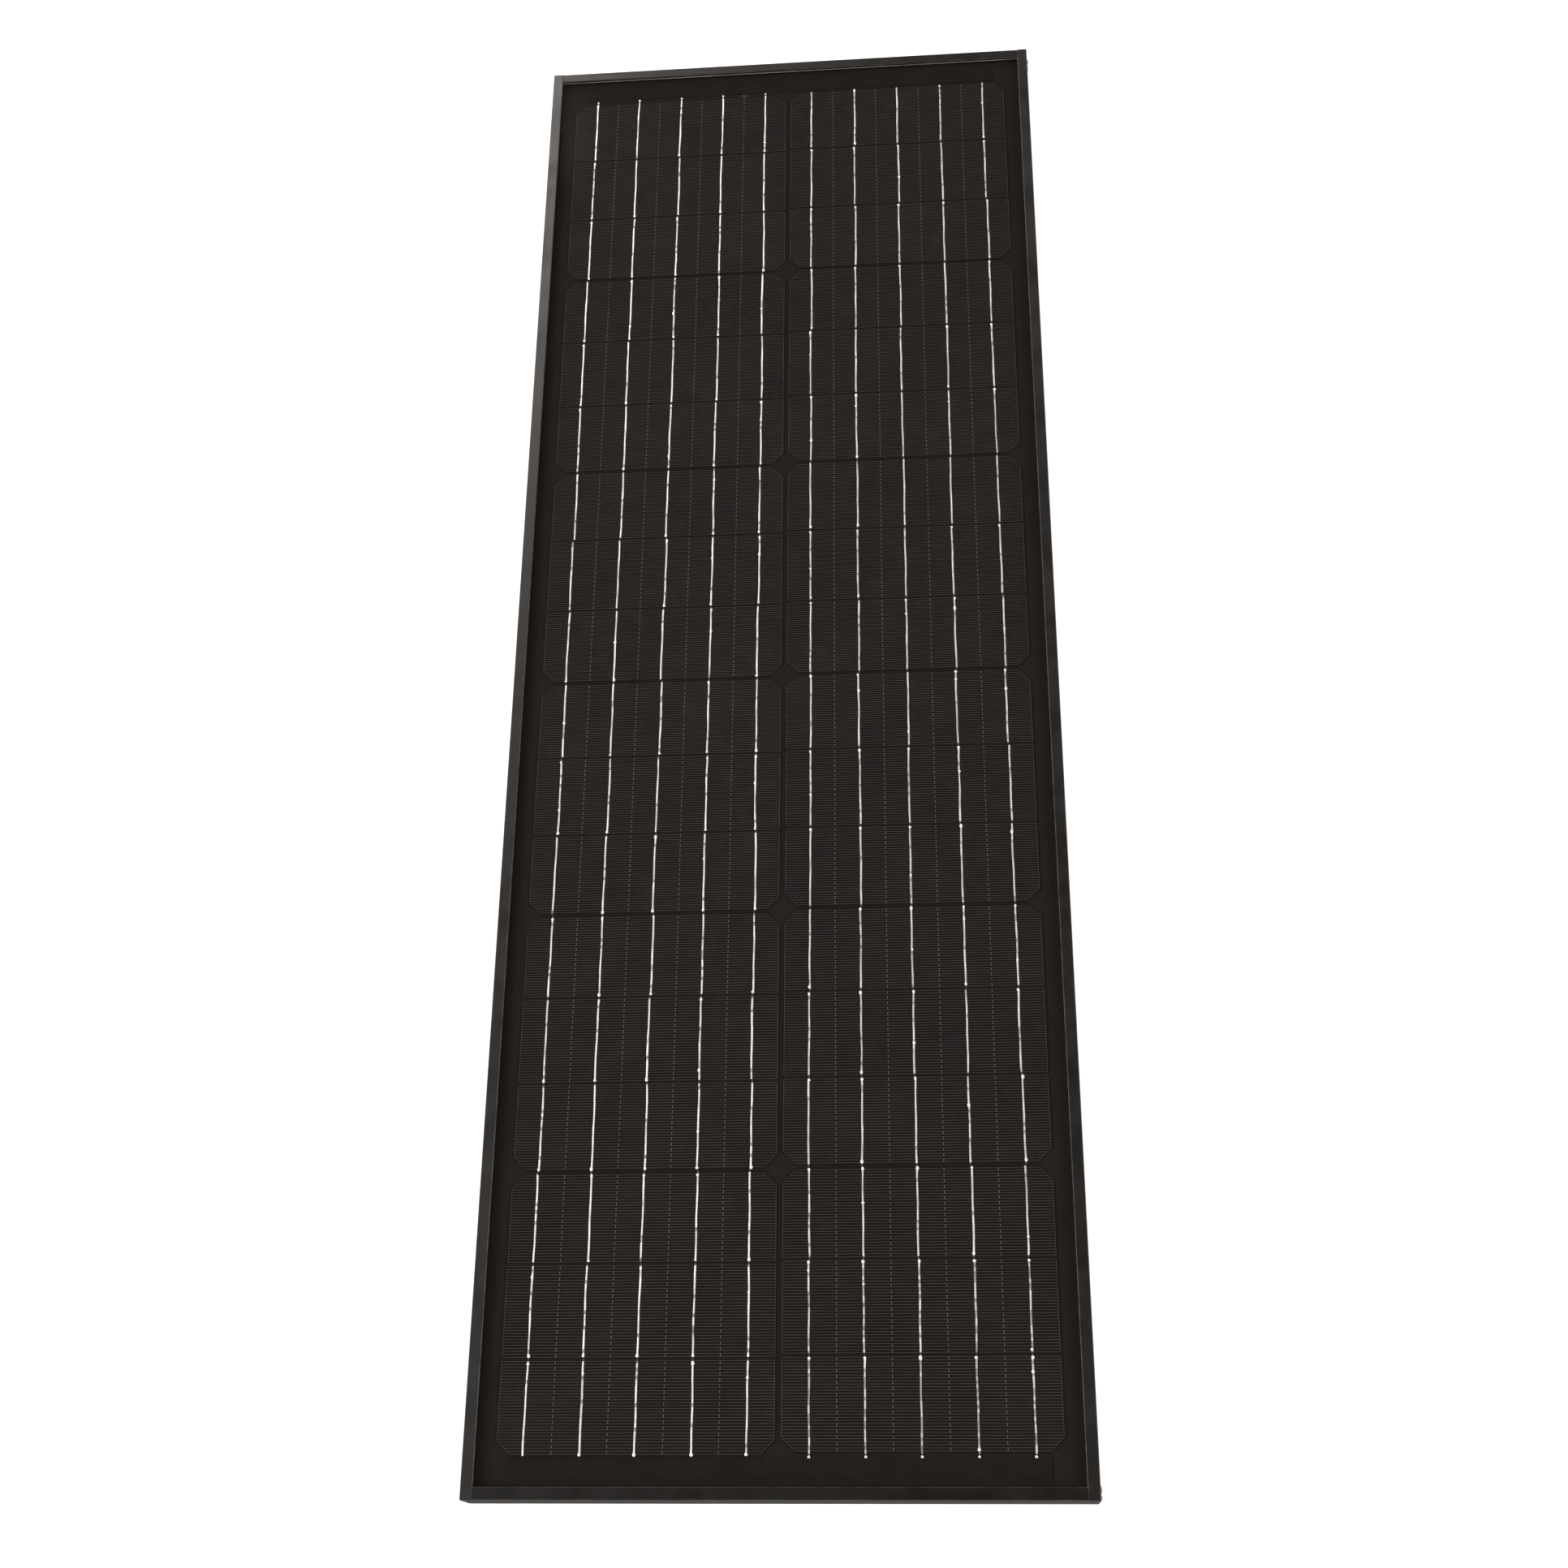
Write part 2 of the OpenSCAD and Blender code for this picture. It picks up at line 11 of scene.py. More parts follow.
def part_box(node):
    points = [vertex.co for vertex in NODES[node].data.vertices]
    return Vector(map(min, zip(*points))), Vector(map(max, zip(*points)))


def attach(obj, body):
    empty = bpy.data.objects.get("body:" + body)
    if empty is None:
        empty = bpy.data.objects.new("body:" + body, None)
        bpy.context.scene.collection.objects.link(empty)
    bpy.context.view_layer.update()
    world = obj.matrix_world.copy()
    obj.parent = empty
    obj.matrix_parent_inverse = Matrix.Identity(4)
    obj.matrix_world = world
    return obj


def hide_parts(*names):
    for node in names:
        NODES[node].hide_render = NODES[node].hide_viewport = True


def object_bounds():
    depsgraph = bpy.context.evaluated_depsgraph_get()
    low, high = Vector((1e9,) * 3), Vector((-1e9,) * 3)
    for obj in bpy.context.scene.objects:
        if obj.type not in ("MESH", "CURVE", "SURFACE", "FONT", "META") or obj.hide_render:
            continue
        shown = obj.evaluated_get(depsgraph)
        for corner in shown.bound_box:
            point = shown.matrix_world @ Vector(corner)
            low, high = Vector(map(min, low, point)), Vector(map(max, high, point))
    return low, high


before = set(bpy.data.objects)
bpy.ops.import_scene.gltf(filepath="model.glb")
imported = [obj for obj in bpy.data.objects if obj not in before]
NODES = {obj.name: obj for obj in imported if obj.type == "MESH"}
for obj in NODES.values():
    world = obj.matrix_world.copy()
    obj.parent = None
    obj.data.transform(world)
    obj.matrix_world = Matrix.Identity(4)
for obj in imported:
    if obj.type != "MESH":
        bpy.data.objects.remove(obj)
CAD_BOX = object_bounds()
FACE = CAD_BOX[1].z
MM = 0.001
random.seed(36)


# ---------------------------------------------------------------- columns of cells

STRIPS = 18
STRIPS_PER_WAFER = 3
STRIP_GAP = 0.95 * MM
CHAMFER = 8.5 * MM
RIBBONS = 5
RIBBON_PITCH = 31.2 * MM
RIBBON_WIDTH = 1.0 * MM


class Column:
    """One column of cell strips, read from its CAD node. Its ribbons feed the bus at one of its ends."""

    def __init__(self, node, feed_up):
        low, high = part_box(node)
        self.centre = (low.x + high.x) / 2
        self.half = (high.x - low.x) / 2
        self.top = high.y
        self.face = high.z
        self.strip = (high.y - low.y + STRIP_GAP) / STRIPS - STRIP_GAP
        self.feed_up = feed_up

    def strip_top(self, index):
        return self.top - index * (self.strip + STRIP_GAP)


left_column = Column("left_cell_string", feed_up=True)
right_column = Column("right_cell_string", feed_up=False)


# ---------------------------------------------------------------- camera

CAMERA_AZIMUTH = math.radians(11.5)
CAMERA_ELEVATION = math.radians(66)
CAMERA_ROLL = math.radians(-12.1)
CAMERA_DISTANCE = 1.277
CAMERA_LENS = 46.9
CAMERA_AIM = Vector((1.2 * MM, -78.7 * MM, FACE))
SENSOR_WIDTH = 36
NEAR_CLIP = 0.05


def make_camera():
    """Looks down on the front from beyond its lower end, rolled about the line of sight."""
    level = math.cos(CAMERA_ELEVATION)
    back = Vector((math.sin(CAMERA_AZIMUTH) * level, -math.cos(CAMERA_AZIMUTH) * level,
                   math.sin(CAMERA_ELEVATION)))
    right = Vector((0, 0, 1)).cross(back).normalized()
    up = back.cross(right)
    rolled_right = right * math.cos(CAMERA_ROLL) + up * math.sin(CAMERA_ROLL)
    rolled_up = back.cross(rolled_right)
    data = bpy.data.cameras.new("camera")
    data.sensor_width = SENSOR_WIDTH
    data.lens = CAMERA_LENS
    data.clip_start = NEAR_CLIP
    camera = bpy.data.objects.new("camera", data)
    rotation = Matrix((rolled_right, rolled_up, back)).transposed()
    place = CAMERA_AIM + back * CAMERA_DISTANCE
    camera.matrix_world = Matrix.Translation(place) @ rotation.to_4x4()
    bpy.context.scene.collection.objects.link(camera)
    bpy.context.scene.camera = camera


# ---------------------------------------------------------------- materials

# Sockets of a Mix node that mixes colours
MIX_FACTOR, MIX_FIRST, MIX_SECOND, MIX_RESULT = 0, 6, 7, 2


def shade(colour, factor, lift=0.0):
    """The same colour, darker or lighter."""
    return [channel * factor + lift for channel in colour]


class NodeTree:
    """Adds nodes to a node tree. What a node is fed is a fixed value or another node's output."""

    def __init__(self, tree, coordinates="Object"):
        self.nodes, self.links = tree.nodes, tree.links
        self.place = self.coordinates(coordinates)

    def add(self, kind, inputs, **settings):
        node = self.nodes.new(kind)
        for name, value in settings.items():
            setattr(node, name, value)
        for key, value in inputs.items():
            if isinstance(value, bpy.types.NodeSocket):
                self.links.new(value, node.inputs[key])
            else:
                node.inputs[key].default_value = value
        return node

    def coordinates(self, kind):
        return self.nodes.new("ShaderNodeTexCoord").outputs[kind]

    def part(self, vector, axis):
        """One coordinate of a vector."""
        return self.add("ShaderNodeSeparateXYZ", {0: vector}).outputs[axis]

    def calculate(self, operation, *values):
        return self.add("ShaderNodeMath", dict(enumerate(values)), operation=operation).outputs[0]

    def noise(self, scale, detail=3.0, stretch=None):
        place = self.place
        if stretch:
            place = self.add("ShaderNodeMapping", {"Vector": place, "Scale": stretch}).outputs["Vector"]
        inputs = {"Vector": place, "Scale": scale, "Detail": detail}
        return self.add("ShaderNodeTexNoise", inputs).outputs["Fac"]

    def ramp(self, value, low, high, out_low=0.0, out_high=1.0):
        inputs = {"Value": value, "From Min": low, "From Max": high, "To Min": out_low, "To Max": out_high}
        return self.add("ShaderNodeMapRange", inputs).outputs["Result"]

    def mix(self, first, second, factor):
        inputs = {MIX_FACTOR: factor, MIX_FIRST: first, MIX_SECOND: second}
        return self.add("ShaderNodeMix", inputs, data_type="RGBA").outputs[MIX_RESULT]


class Material(NodeTree):
    """A Principled material whose colour, roughness and bump are varied by procedural noise."""

    def __init__(self, name, colour, roughness, metallic=0.0, specular=0.5):
        self.data = bpy.data.materials.new(name)
        self.data.use_nodes = True
        super().__init__(self.data.node_tree)
        self.shader = self.nodes["Principled BSDF"]
        self.colour = (*colour, 1)
        self.normal = None
        self.set("Base Color", self.colour)
        self.set("Roughness", roughness)
        self.set("Metallic", metallic)
        self.set("Specular IOR Level", specular)

    def set(self, socket, value):
        self.shader.inputs[socket].default_value = value

    def mix_colour(self, other, factor):
        """Blends another colour over what the base colour already is."""
        socket = self.shader.inputs["Base Color"]
        so_far = socket.links[0].from_socket if socket.links else self.colour
        self.links.new(self.mix(so_far, (*other, 1), factor), socket)

    def mottle(self, other, scale, low=0.35, high=0.65, **options):
        self.mix_colour(other, self.ramp(self.noise(scale, **options), low, high))

    def vary_roughness(self, low, high, scale, detail=3.0):
        value = self.ramp(self.noise(scale, detail), 0.3, 0.7, low, high)
        self.links.new(value, self.shader.inputs["Roughness"])

    def grain(self, scale, depth, strength, **options):
        """Adds a fine bump over the bump so far."""
        inputs = {"Height": self.noise(scale, **options), "Distance": depth, "Strength": strength}
        if self.normal is not None:
            inputs["Normal"] = self.normal
        self.normal = self.add("ShaderNodeBump", inputs).outputs["Normal"]
        self.links.new(self.normal, self.shader.inputs["Normal"])

    def chamfer_sheen_and_wear(self):
        """Up to 1 on sloping chamfers that face up, unevenly: painted highlight along the chamfers, partly
        edge wear where handling has rubbed the finish.
        """
        up = self.part(self.coordinates("Normal"), "Z")
        upward = self.ramp(up, 0.5, 0.6)
        sloping = self.ramp(up, 0.8, 0.9, 1.0, 0.0)
        sheen_and_wear = self.ramp(self.noise(120, detail=4), 0.35, 0.6, 0.35, 1.0)
        return self.calculate("MULTIPLY", self.calculate("MULTIPLY", upward, sloping), sheen_and_wear)

    def roughen_sides(self, roughness):
        """Upright faces keep the blasted surface that handling polishes off the top."""
        level = self.calculate("ABSOLUTE", self.part(self.coordinates("Normal"), "Z"))
        least = self.ramp(level, 0.2, 0.6, roughness, 0.0)
        socket = self.shader.inputs["Roughness"]
        self.links.new(self.calculate("MAXIMUM", socket.links[0].from_socket, least), socket)


def anodised(name, along, gloss, sheen_and_wear):
    """Black anodised aluminium with a fine blasted grain and faint drawing lines along the rail."""
    black = (0.0040, 0.0026, 0.0018)
    drawn = (1, 0.02, 1) if along == "y" else (0.02, 1, 1)
    made = Material(name, black, 0.42, metallic=0.2, specular=gloss)
    made.mottle(shade(black, 1.5), 5, 0.3, 0.7, detail=4)
    made.mottle(shade(black, 0.6), 900, 0.45, 0.75, detail=2)
    # Lightens the chamfers: painted highlight, partly edge wear.
    made.mix_colour(sheen_and_wear, made.chamfer_sheen_and_wear())
    made.vary_roughness(0.36, 0.52, 60, detail=5)
    made.roughen_sides(0.9)
    made.grain(1400, 0.03 * MM, 0.5, detail=2)
    made.grain(900, 0.02 * MM, 0.15, detail=2, stretch=drawn)
    return made.data


def steel(name, colour, roughness=0.3, dulled=0.7):
    """Bare metal, brushed along its height, with duller patches."""
    made = Material(name, colour, roughness, metallic=1.0)
    made.mottle(shade(colour, dulled), 400)
    made.vary_roughness(roughness, roughness + 0.2, 700)
    made.grain(2500, 0.02 * MM, 0.4, stretch=(1, 1, 0.1))
    return made.data


def silicon(name, base):
    """Dark anti-reflective wafer: faint cloudy tint, a little different on each strip."""
    made = Material(name, base, 0.5, specular=0.0)
    strip = made.calculate("SNAP", made.part(made.place, "Y"), left_column.strip + STRIP_GAP)
    pick = made.add("ShaderNodeTexWhiteNoise", {"W": strip}, noise_dimensions="1D")
    made.mix_colour((0.0145, 0.0119, 0.0105), made.ramp(pick.outputs["Value"], 0, 1, 0, 0.8))
    made.mottle((0.0098, 0.0086, 0.0086), 22, 0.4, 0.75, detail=5)
    made.vary_roughness(0.36, 0.5, 300)
    return made.data


def tin(name, colour, roughness, pits=0.25):
    """Tinned ribbon: bright, slightly lumpy solder with dull pits."""
    made = Material(name, colour, roughness, metallic=0.15, specular=0.7)
    made.mottle(shade(colour, 0.5), 60, 0.42, 0.68, detail=4)
    made.mottle(shade(colour, 0.72), 700, 0.45, 0.8, detail=4)
    made.mottle(shade(colour, 0.3), 350, 0.62 - 0.1 * pits, 0.8, stretch=(1, 0.35, 1))
    made.vary_roughness(roughness, roughness + 0.25, 500)
    made.grain(1500, 0.05 * MM, 0.5)
    return made.data


def blob_tin(name):
    """Fresh solder: smooth and bright, barely mottled."""
    made = Material(name, (1.0, 0.99, 0.985), 0.18, metallic=0.3, specular=0.9)
    made.mottle((0.85, 0.84, 0.83), 500, 0.5, 0.8)
    made.vary_roughness(0.15, 0.3, 500)
    return made.data


def sleeved_lead(name):
    """Tinned lead, under black insulating film as far as it lies in the laminate."""
    made = Material(name, (0.60, 0.58, 0.55), 0.35, metallic=0.15)
    made.mottle((0.36, 0.34, 0.32), 300, 0.45, 0.7, detail=4)
    black_film = (0.0085, 0.0070, 0.0060)
    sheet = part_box("backsheet")[0].z
    made.mix_colour(black_film, made.ramp(made.part(made.place, "Z"), sheet, sheet + 0.1 * MM))
    made.vary_roughness(0.35, 0.55, 400)
    return made.data


def diode_finish(name):
    """Epoxy body with a silver band at one end, and tinned wires beyond it."""
    body_end, band_middle, band_half = 4.5 * MM, 3.0 * MM, 0.6 * MM
    made = Material(name, (0.012, 0.012, 0.012), 0.32)
    along = made.part(made.place, "X")
    wire = made.ramp(made.calculate("ABSOLUTE", along), body_end, body_end + 0.1 * MM)
    made.mix_colour((0.55, 0.54, 0.52), wire)
    made.mix_colour((0.50, 0.50, 0.50), made.calculate("COMPARE", along, band_middle, band_half))
    made.vary_roughness(0.28, 0.42, 400)
    made.grain(1800, 0.02 * MM, 0.4)
    return made.data


def printed_silver(name, colour):
    made = Material(name, colour, 0.5, specular=0.05)
    made.mottle(shade(colour, 0.65), 90, 0.35, 0.7, detail=5)
    made.vary_roughness(0.4, 0.6, 800)
    return made.data


def film(name, colour):
    """Matte black film that covers the bus ribbons."""
    made = Material(name, colour, 0.55, specular=0.0)
    made.mottle(shade(colour, 1.2), 60, detail=4)
    made.vary_roughness(0.47, 0.65, 150)
    return made.data


def satin(name, colour):
    """Satin label film: nearly even, with a fine tooth."""
    made = Material(name, colour, 0.35, specular=0.4)
    made.mottle(shade(colour, 0.96), 25, 0.3, 0.7)
    made.vary_roughness(0.3, 0.42, 200)
    made.grain(2500, 0.01 * MM, 0.4)
    return made.data


def moulded(name, colour, roughness=0.45, grain=900):
    """Moulded plastic with spark-eroded grain."""
    made = Material(name, colour, roughness, specular=0.45)
    made.mottle(shade(colour, 1.5, 0.002), 35, detail=4)
    made.vary_roughness(roughness - 0.06, roughness + 0.14, 120)
    made.grain(grain, 0.05 * MM, 0.5)
    made.grain(grain * 3, 0.02 * MM, 0.4)
    return made.data


def rubber(name, colour, roughness=0.7):
    made = Material(name, colour, roughness, specular=0.3)
    made.mottle(shade(colour, 1.8, 0.004), 50, 0.45, 0.8, detail=6)
    made.grain(500, 0.08 * MM, 0.5)
    return made.data


def backsheet_film(name):
    """Black on the cell side and off-white behind."""
    made = Material(name, (0.0168, 0.0142, 0.0124), 0.5, specular=0.0)
    made.mottle((0.0181, 0.0154, 0.0135), 40, detail=5)
    up = made.part(made.coordinates("Normal"), "Z")
    made.mix_colour((0.78, 0.78, 0.76), made.ramp(up, -0.5, -0.6))
    made.vary_roughness(0.46, 0.6, 30)
    return made.data


def clear(name, reflectance, grazing=0.85, rise=4.5, roughness=0.03):
    """Clear glass: gloss that rises towards grazing angles, and none on its bonded rear face."""
    made = bpy.data.materials.new(name)
    made.use_nodes = True
    work = NodeTree(made.node_tree)
    work.nodes.remove(work.nodes["Principled BSDF"])
    facing = work.add("ShaderNodeLayerWeight", {"Blend": 0.5}).outputs["Facing"]
    reflected = work.calculate("MULTIPLY_ADD", work.calculate("POWER", facing, rise), grazing, reflectance)
    unbonded = work.calculate("GREATER_THAN", work.part(work.coordinates("Normal"), "Z"), -0.5)
    smear = work.ramp(work.noise(14, detail=6), 0.35, 0.7, roughness, roughness * 3)
    through = work.add("ShaderNodeBsdfTransparent", {}).outputs[0]
    gloss = work.add("ShaderNodeBsdfGlossy", {"Roughness": smear}).outputs[0]
    weight = work.calculate("MULTIPLY", reflected, unbonded)
    surface = work.add("ShaderNodeMixShader", {0: weight, 1: through, 2: gloss}).outputs[0]
    work.links.new(surface, work.nodes["Material Output"].inputs["Surface"])
    return made


# ---------------------------------------------------------------- mesh helpers

def piece(name, bm, material, body="panel", replaces=(), smooth=False):
    """Makes an object from a bmesh, gives it its material and lets it ride on a CAD body."""
    bmesh.ops.recalc_face_normals(bm, faces=bm.faces)
    data = bpy.data.meshes.new(name)
    bm.to_mesh(data)
    bm.free()
    made = bpy.data.objects.new(name, data)
    bpy.context.scene.collection.objects.link(made)
    for one in material if isinstance(material, list) else [material]:
        data.materials.append(one)
    if smooth:
        data.polygons.foreach_set("use_smooth", [True] * len(data.polygons))
    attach(made, body)
    if replaces:
        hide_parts(*replaces)


def paint_faces(bm, first, material):
    """Gives every face from the first one on a material of the piece's list."""
    bm.faces.ensure_lookup_table()
    for face in bm.faces[first:]:
        face.material_index = material


def add_prism(bm, outline, low, high):
    """Closes a flat outline of (x, y) points into a prism from z = low to high."""
    bottom = [bm.verts.new((x, y, low)) for x, y in outline]
    top = [bm.verts.new((x, y, high)) for x, y in outline]
    bm.faces.new(top)
    bm.faces.new(bottom[::-1])
    for i in range(len(outline)):
        j = (i + 1) % len(outline)
        bm.faces.new((bottom[i], bottom[j], top[j], top[i]))


def add_bar(bm, x0, x1, y0, y1, low, high):
    add_prism(bm, [(x0, y0), (x1, y0), (x1, y1), (x0, y1)], low, high)


def sweep(bm, points, sizes, profile, materials):
    """Sweeps a profile of (across, up) shares along points, each with its own width and height."""
    rings = []
    for (x, y, z), (width, height) in zip(points, sizes):
        rings.append([bm.verts.new((x + across * width, y, z + up * height)) for across, up in profile])
    for a, b, material in zip(rings, rings[1:], materials):
        for i in range(len(profile)):
            j = (i + 1) % len(profile)
            face = bm.faces.new((a[i], b[i], b[j], a[j]))
            face.material_index = material
    bm.faces.new(rings[0])
    bm.faces.new(rings[-1][::-1])


def add_dome(bm, centre, radius, height, stretch, segments=10, rings=3):
    """A low blob of solder."""
    layers = []
    for r in range(rings):
        angle = r / rings * math.pi / 2
        size, z = radius * math.cos(angle), centre[2] + height * math.sin(angle)
        layers.append([bm.verts.new((centre[0] + size * math.cos(2 * math.pi * s / segments),
                                     centre[1] + size * stretch * math.sin(2 * math.pi * s / segments),
                                     z)) for s in range(segments)])
    tip = bm.verts.new((centre[0], centre[1], centre[2] + height))
    bm.faces.new(layers[0][::-1])
    for low, high in zip(layers, layers[1:]):
        for s in range(segments):
            t = (s + 1) % segments
            bm.faces.new((low[s], low[t], high[t], high[s]))
    for s in range(segments):
        bm.faces.new((layers[-1][s], layers[-1][(s + 1) % segments], tip))


# ---------------------------------------------------------------- laminate edge

EDGE_BAND = 0.8 * MM
EDGE_ROUND = 0.15 * MM


def make_encapsulant_edges(material):
    """Between glass and backsheet the clear films can't be seen, so only their squeezed-out rim is made."""
    for node in ("front_encapsulant", "rear_encapsulant"):
        low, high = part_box(node)
        section = [(0, low.z), (EDGE_BAND, low.z), (EDGE_BAND, high.z), (0, high.z),
                   (-EDGE_ROUND, high.z - EDGE_ROUND), (-EDGE_ROUND, low.z + EDGE_ROUND)]
        half_x, half_y = high.x - EDGE_ROUND, high.y - EDGE_ROUND
        bm = bmesh.new()
        rings = []
        for sx, sy in ((-1, -1), (1, -1), (1, 1), (-1, 1)):
            rings.append([bm.verts.new((sx * (half_x - inset), sy * (half_y - inset), z))
                          for inset, z in section])
        for n, ring in enumerate(rings):
            following = rings[(n + 1) % len(rings)]
            for i in range(len(section)):
                j = (i + 1) % len(section)
                bm.faces.new((ring[i], ring[j], following[j], following[i]))
        piece(node + "_rim", bm, material, replaces=[node])


# ---------------------------------------------------------------- cells

FINGERS = 32
FINGER_WIDTH = 0.16 * MM
BUSBAR_WIDTH = 0.7 * MM
LINK_WIDTH = 0.22 * MM
PRINT_HEIGHT = 0.015 * MM
# Insets of the print from a strip's sides, from its cut edges and from the wafer's own edges
BORDER_INSET = 0.85 * MM
CUT_INSET = 0.7 * MM
WAFER_INSET = 1.5 * MM


def is_first(index):
    """Whether a strip has the wafer's corner cuts at its top edge."""
    return index % STRIPS_PER_WAFER == 0


def is_last(index):
    """Whether a strip has the wafer's corner cuts at its bottom edge."""
    return index % STRIPS_PER_WAFER == STRIPS_PER_WAFER - 1


def half_width_at(column, index, depth):
    """Half the printed width of a strip at a depth below its top edge, narrower at the corner cuts."""
    half = column.half - BORDER_INSET
    at_corner = column.half - CHAMFER - BORDER_INSET * math.sqrt(2)
    if is_first(index):
        half = min(half, at_corner + depth)
    if is_last(index):
        half = min(half, at_corner + column.strip - depth)
    return half


def finger_depths(column, index):
    top = WAFER_INSET if is_first(index) else CUT_INSET
    bottom = WAFER_INSET if is_last(index) else CUT_INSET
    step = (column.strip - top - bottom) / (FINGERS - 1)
    return [top + step * n for n in range(FINGERS)]


def ribbon_places(column, count):
    """The x of so many lines, a ribbon's pitch apart, about a column's middle."""
    return [column.centre + (n - (count - 1) / 2) * RIBBON_PITCH for n in range(count)]


def print_strip(bm, column, index):
    """Fingers, side lines, busbars and dashed links on one strip."""
    low, high = column.face, column.face + PRINT_HEIGHT
    top = column.strip_top(index)
    depths = finger_depths(column, index)
    line = FINGER_WIDTH / 2
    for depth in depths:
        half = half_width_at(column, index, depth)
        add_bar(bm, column.centre - half, column.centre + half,
                top - depth - line, top - depth + line, low, high)
    turns = [depths[0], depths[-1]]
    corner = CHAMFER + BORDER_INSET * (math.sqrt(2) - 1)
    if is_first(index):
        turns.append(corner)
    if is_last(index):
        turns.append(column.strip - corner)
    edge = [(half_width_at(column, index, depth), top - depth) for depth in sorted(turns)]
    for side in (-1, 1):
        for (x0, y0), (x1, y1) in zip(edge, edge[1:]):
            points = [(x0 - line, y0), (x0 + line, y0), (x1 + line, y1), (x1 - line, y1)]
            add_prism(bm, [(column.centre + side * x, y) for x, y in points][::side], low, high)
    for x in ribbon_places(column, RIBBONS):
        add_bar(bm, x - BUSBAR_WIDTH / 2, x + BUSBAR_WIDTH / 2, top - depths[-1], top - depths[0], low, high)
    first_link = len(bm.faces)
    for x in ribbon_places(column, RIBBONS - 1):
        for upper, lower in list(zip(depths, depths[1:]))[::2]:
            add_bar(bm, x - LINK_WIDTH / 2, x + LINK_WIDTH / 2, top - lower, top - upper, low, high)
    paint_faces(bm, first_link, 1)


def make_prints(fingers, links):
    for name, column in (("left_cell_print", left_column), ("right_cell_print", right_column)):
        bm = bmesh.new()
        for index in range(STRIPS):
            print_strip(bm, column, index)
        piece(name, bm, [fingers, links])


# ---------------------------------------------------------------- ribbons

RIBBON_PROFILE = [(-0.5, 0.0), (0.5, 0.0), (0.48, 0.6), (0.25, 1.0), (-0.25, 1.0), (-0.48, 0.6)]
RIBBON_HEIGHT = 0.19 * MM
CELL_THICK = 0.2 * MM
KINK_LENGTH = 0.8 * MM
BUS_REACH = 1.7 * MM
REAR_RUN = 12 * MM
RIBBON_STEPS = 24
RIBBON_INSET = 0.6 * MM
BLOB_HEIGHT = 0.3 * MM
# Materials of a ribbon: the column's tin, painted shade on the kinks where the ribbon dips away from the
# light, and the pitted stretches
TINNED, KINK_SHADE, PITTED = 0, 1, 2
# Strips at the feeding end of the right column whose ribbons are pitted
WORST_STRIPS = 2


def stray(reach):
    """A random distance of up to so many millimetres either way."""
    return random.uniform(-reach, reach) * MM


class RibbonRun:
    """One ribbon: along the front of a strip, then down through the gap to the rear of the next."""

    def __init__(self, column, index, x):
        self.up = 1 if column.feed_up else -1
        top = column.strip_top(index)
        bottom = top - column.strip
        self.start = bottom + RIBBON_INSET if column.feed_up else top - RIBBON_INSET
        self.end = top if column.feed_up else bottom
        self.feeds_bus = index == (0 if column.feed_up else STRIPS - 1)
        self.face = column.face
        self.x = x
        self.lean = stray(0.35)
        self.bow = stray(0.25)
        self.phase = random.uniform(0, 2 * math.pi)
        self.points, self.sizes, self.kinds = [], [], []

    def middle(self, share):
        """The ribbon's middle at a share of its way, leaning and bowed."""
        x = self.x + self.lean * (share - 0.5) + self.bow * math.sin(math.pi * share)
        return x, self.start + (self.end - self.start) * share

    def add(self, x, y, z, width, kind):
        self.points.append((x, y, z))
        self.sizes.append((RIBBON_WIDTH * width, RIBBON_HEIGHT))
        self.kinds.append(kind)

    def lay(self, pitted_share):
        """Along the strip, slightly wavy and of uneven width, then to the bus ribbon or the next strip."""
        swell = random.uniform(0.86, 1.05)
        for n in range(RIBBON_STEPS + 1):
            share = n / RIBBON_STEPS
            x, y = self.middle(share)
            x += 0.10 * MM * math.sin(share * 11 + self.phase) + stray(0.05)
            swell += random.uniform(-0.09, 0.09) + 0.3 * (0.97 - swell)
            if n == RIBBON_STEPS and not self.feeds_bus:
                y -= self.up * KINK_LENGTH
            self.add(x, y, self.face, swell, PITTED if random.random() < pitted_share else TINNED)
        # The kink and the ribbon beyond it take the painted shade.
        self.kinds[-1] = KINK_SHADE
        if self.feeds_bus:
            self.add(x, self.end + self.up * BUS_REACH, self.face, 0.85, KINK_SHADE)
            return
        below = self.face - CELL_THICK - RIBBON_HEIGHT
        self.add(x, self.end + self.up * 0.1 * MM, self.face - 0.08 * MM, 0.8, KINK_SHADE)
        self.add(x, self.end + self.up * (STRIP_GAP - 0.2 * MM), below, 0.8, KINK_SHADE)
        self.add(x, self.end + self.up * (STRIP_GAP + REAR_RUN), below, 1.0, KINK_SHADE)

    def build(self, bm):
        sweep(bm, self.points[::self.up], self.sizes[::self.up], RIBBON_PROFILE, self.kinds[:-1][::self.up])

    def drop_blobs(self, bm):
        """Solder blobs: often one after the kink, fewer before it, and now and then one on the way."""
        shares = [share for share, chance in ((0.012, 0.75), (0.96, 0.3)) if random.random() < chance]
        shares += [random.uniform(0.1, 0.9) for _ in range(random.choice((0, 0, 1)))]
        for share in shares:
            x, y = self.middle(share)
            add_dome(bm, (x + stray(0.2), y, self.face + RIBBON_HEIGHT * 0.5),
                     random.uniform(0.7, 0.98) * MM, BLOB_HEIGHT, random.uniform(0.9, 1.6))
        if self.feeds_bus:
            x, y = self.points[-1][:2]
            add_dome(bm, (x + stray(0.15), y, self.face + RIBBON_HEIGHT * 0.3),
                     random.uniform(0.68, 0.85) * MM, BLOB_HEIGHT, random.uniform(0.9, 1.4))


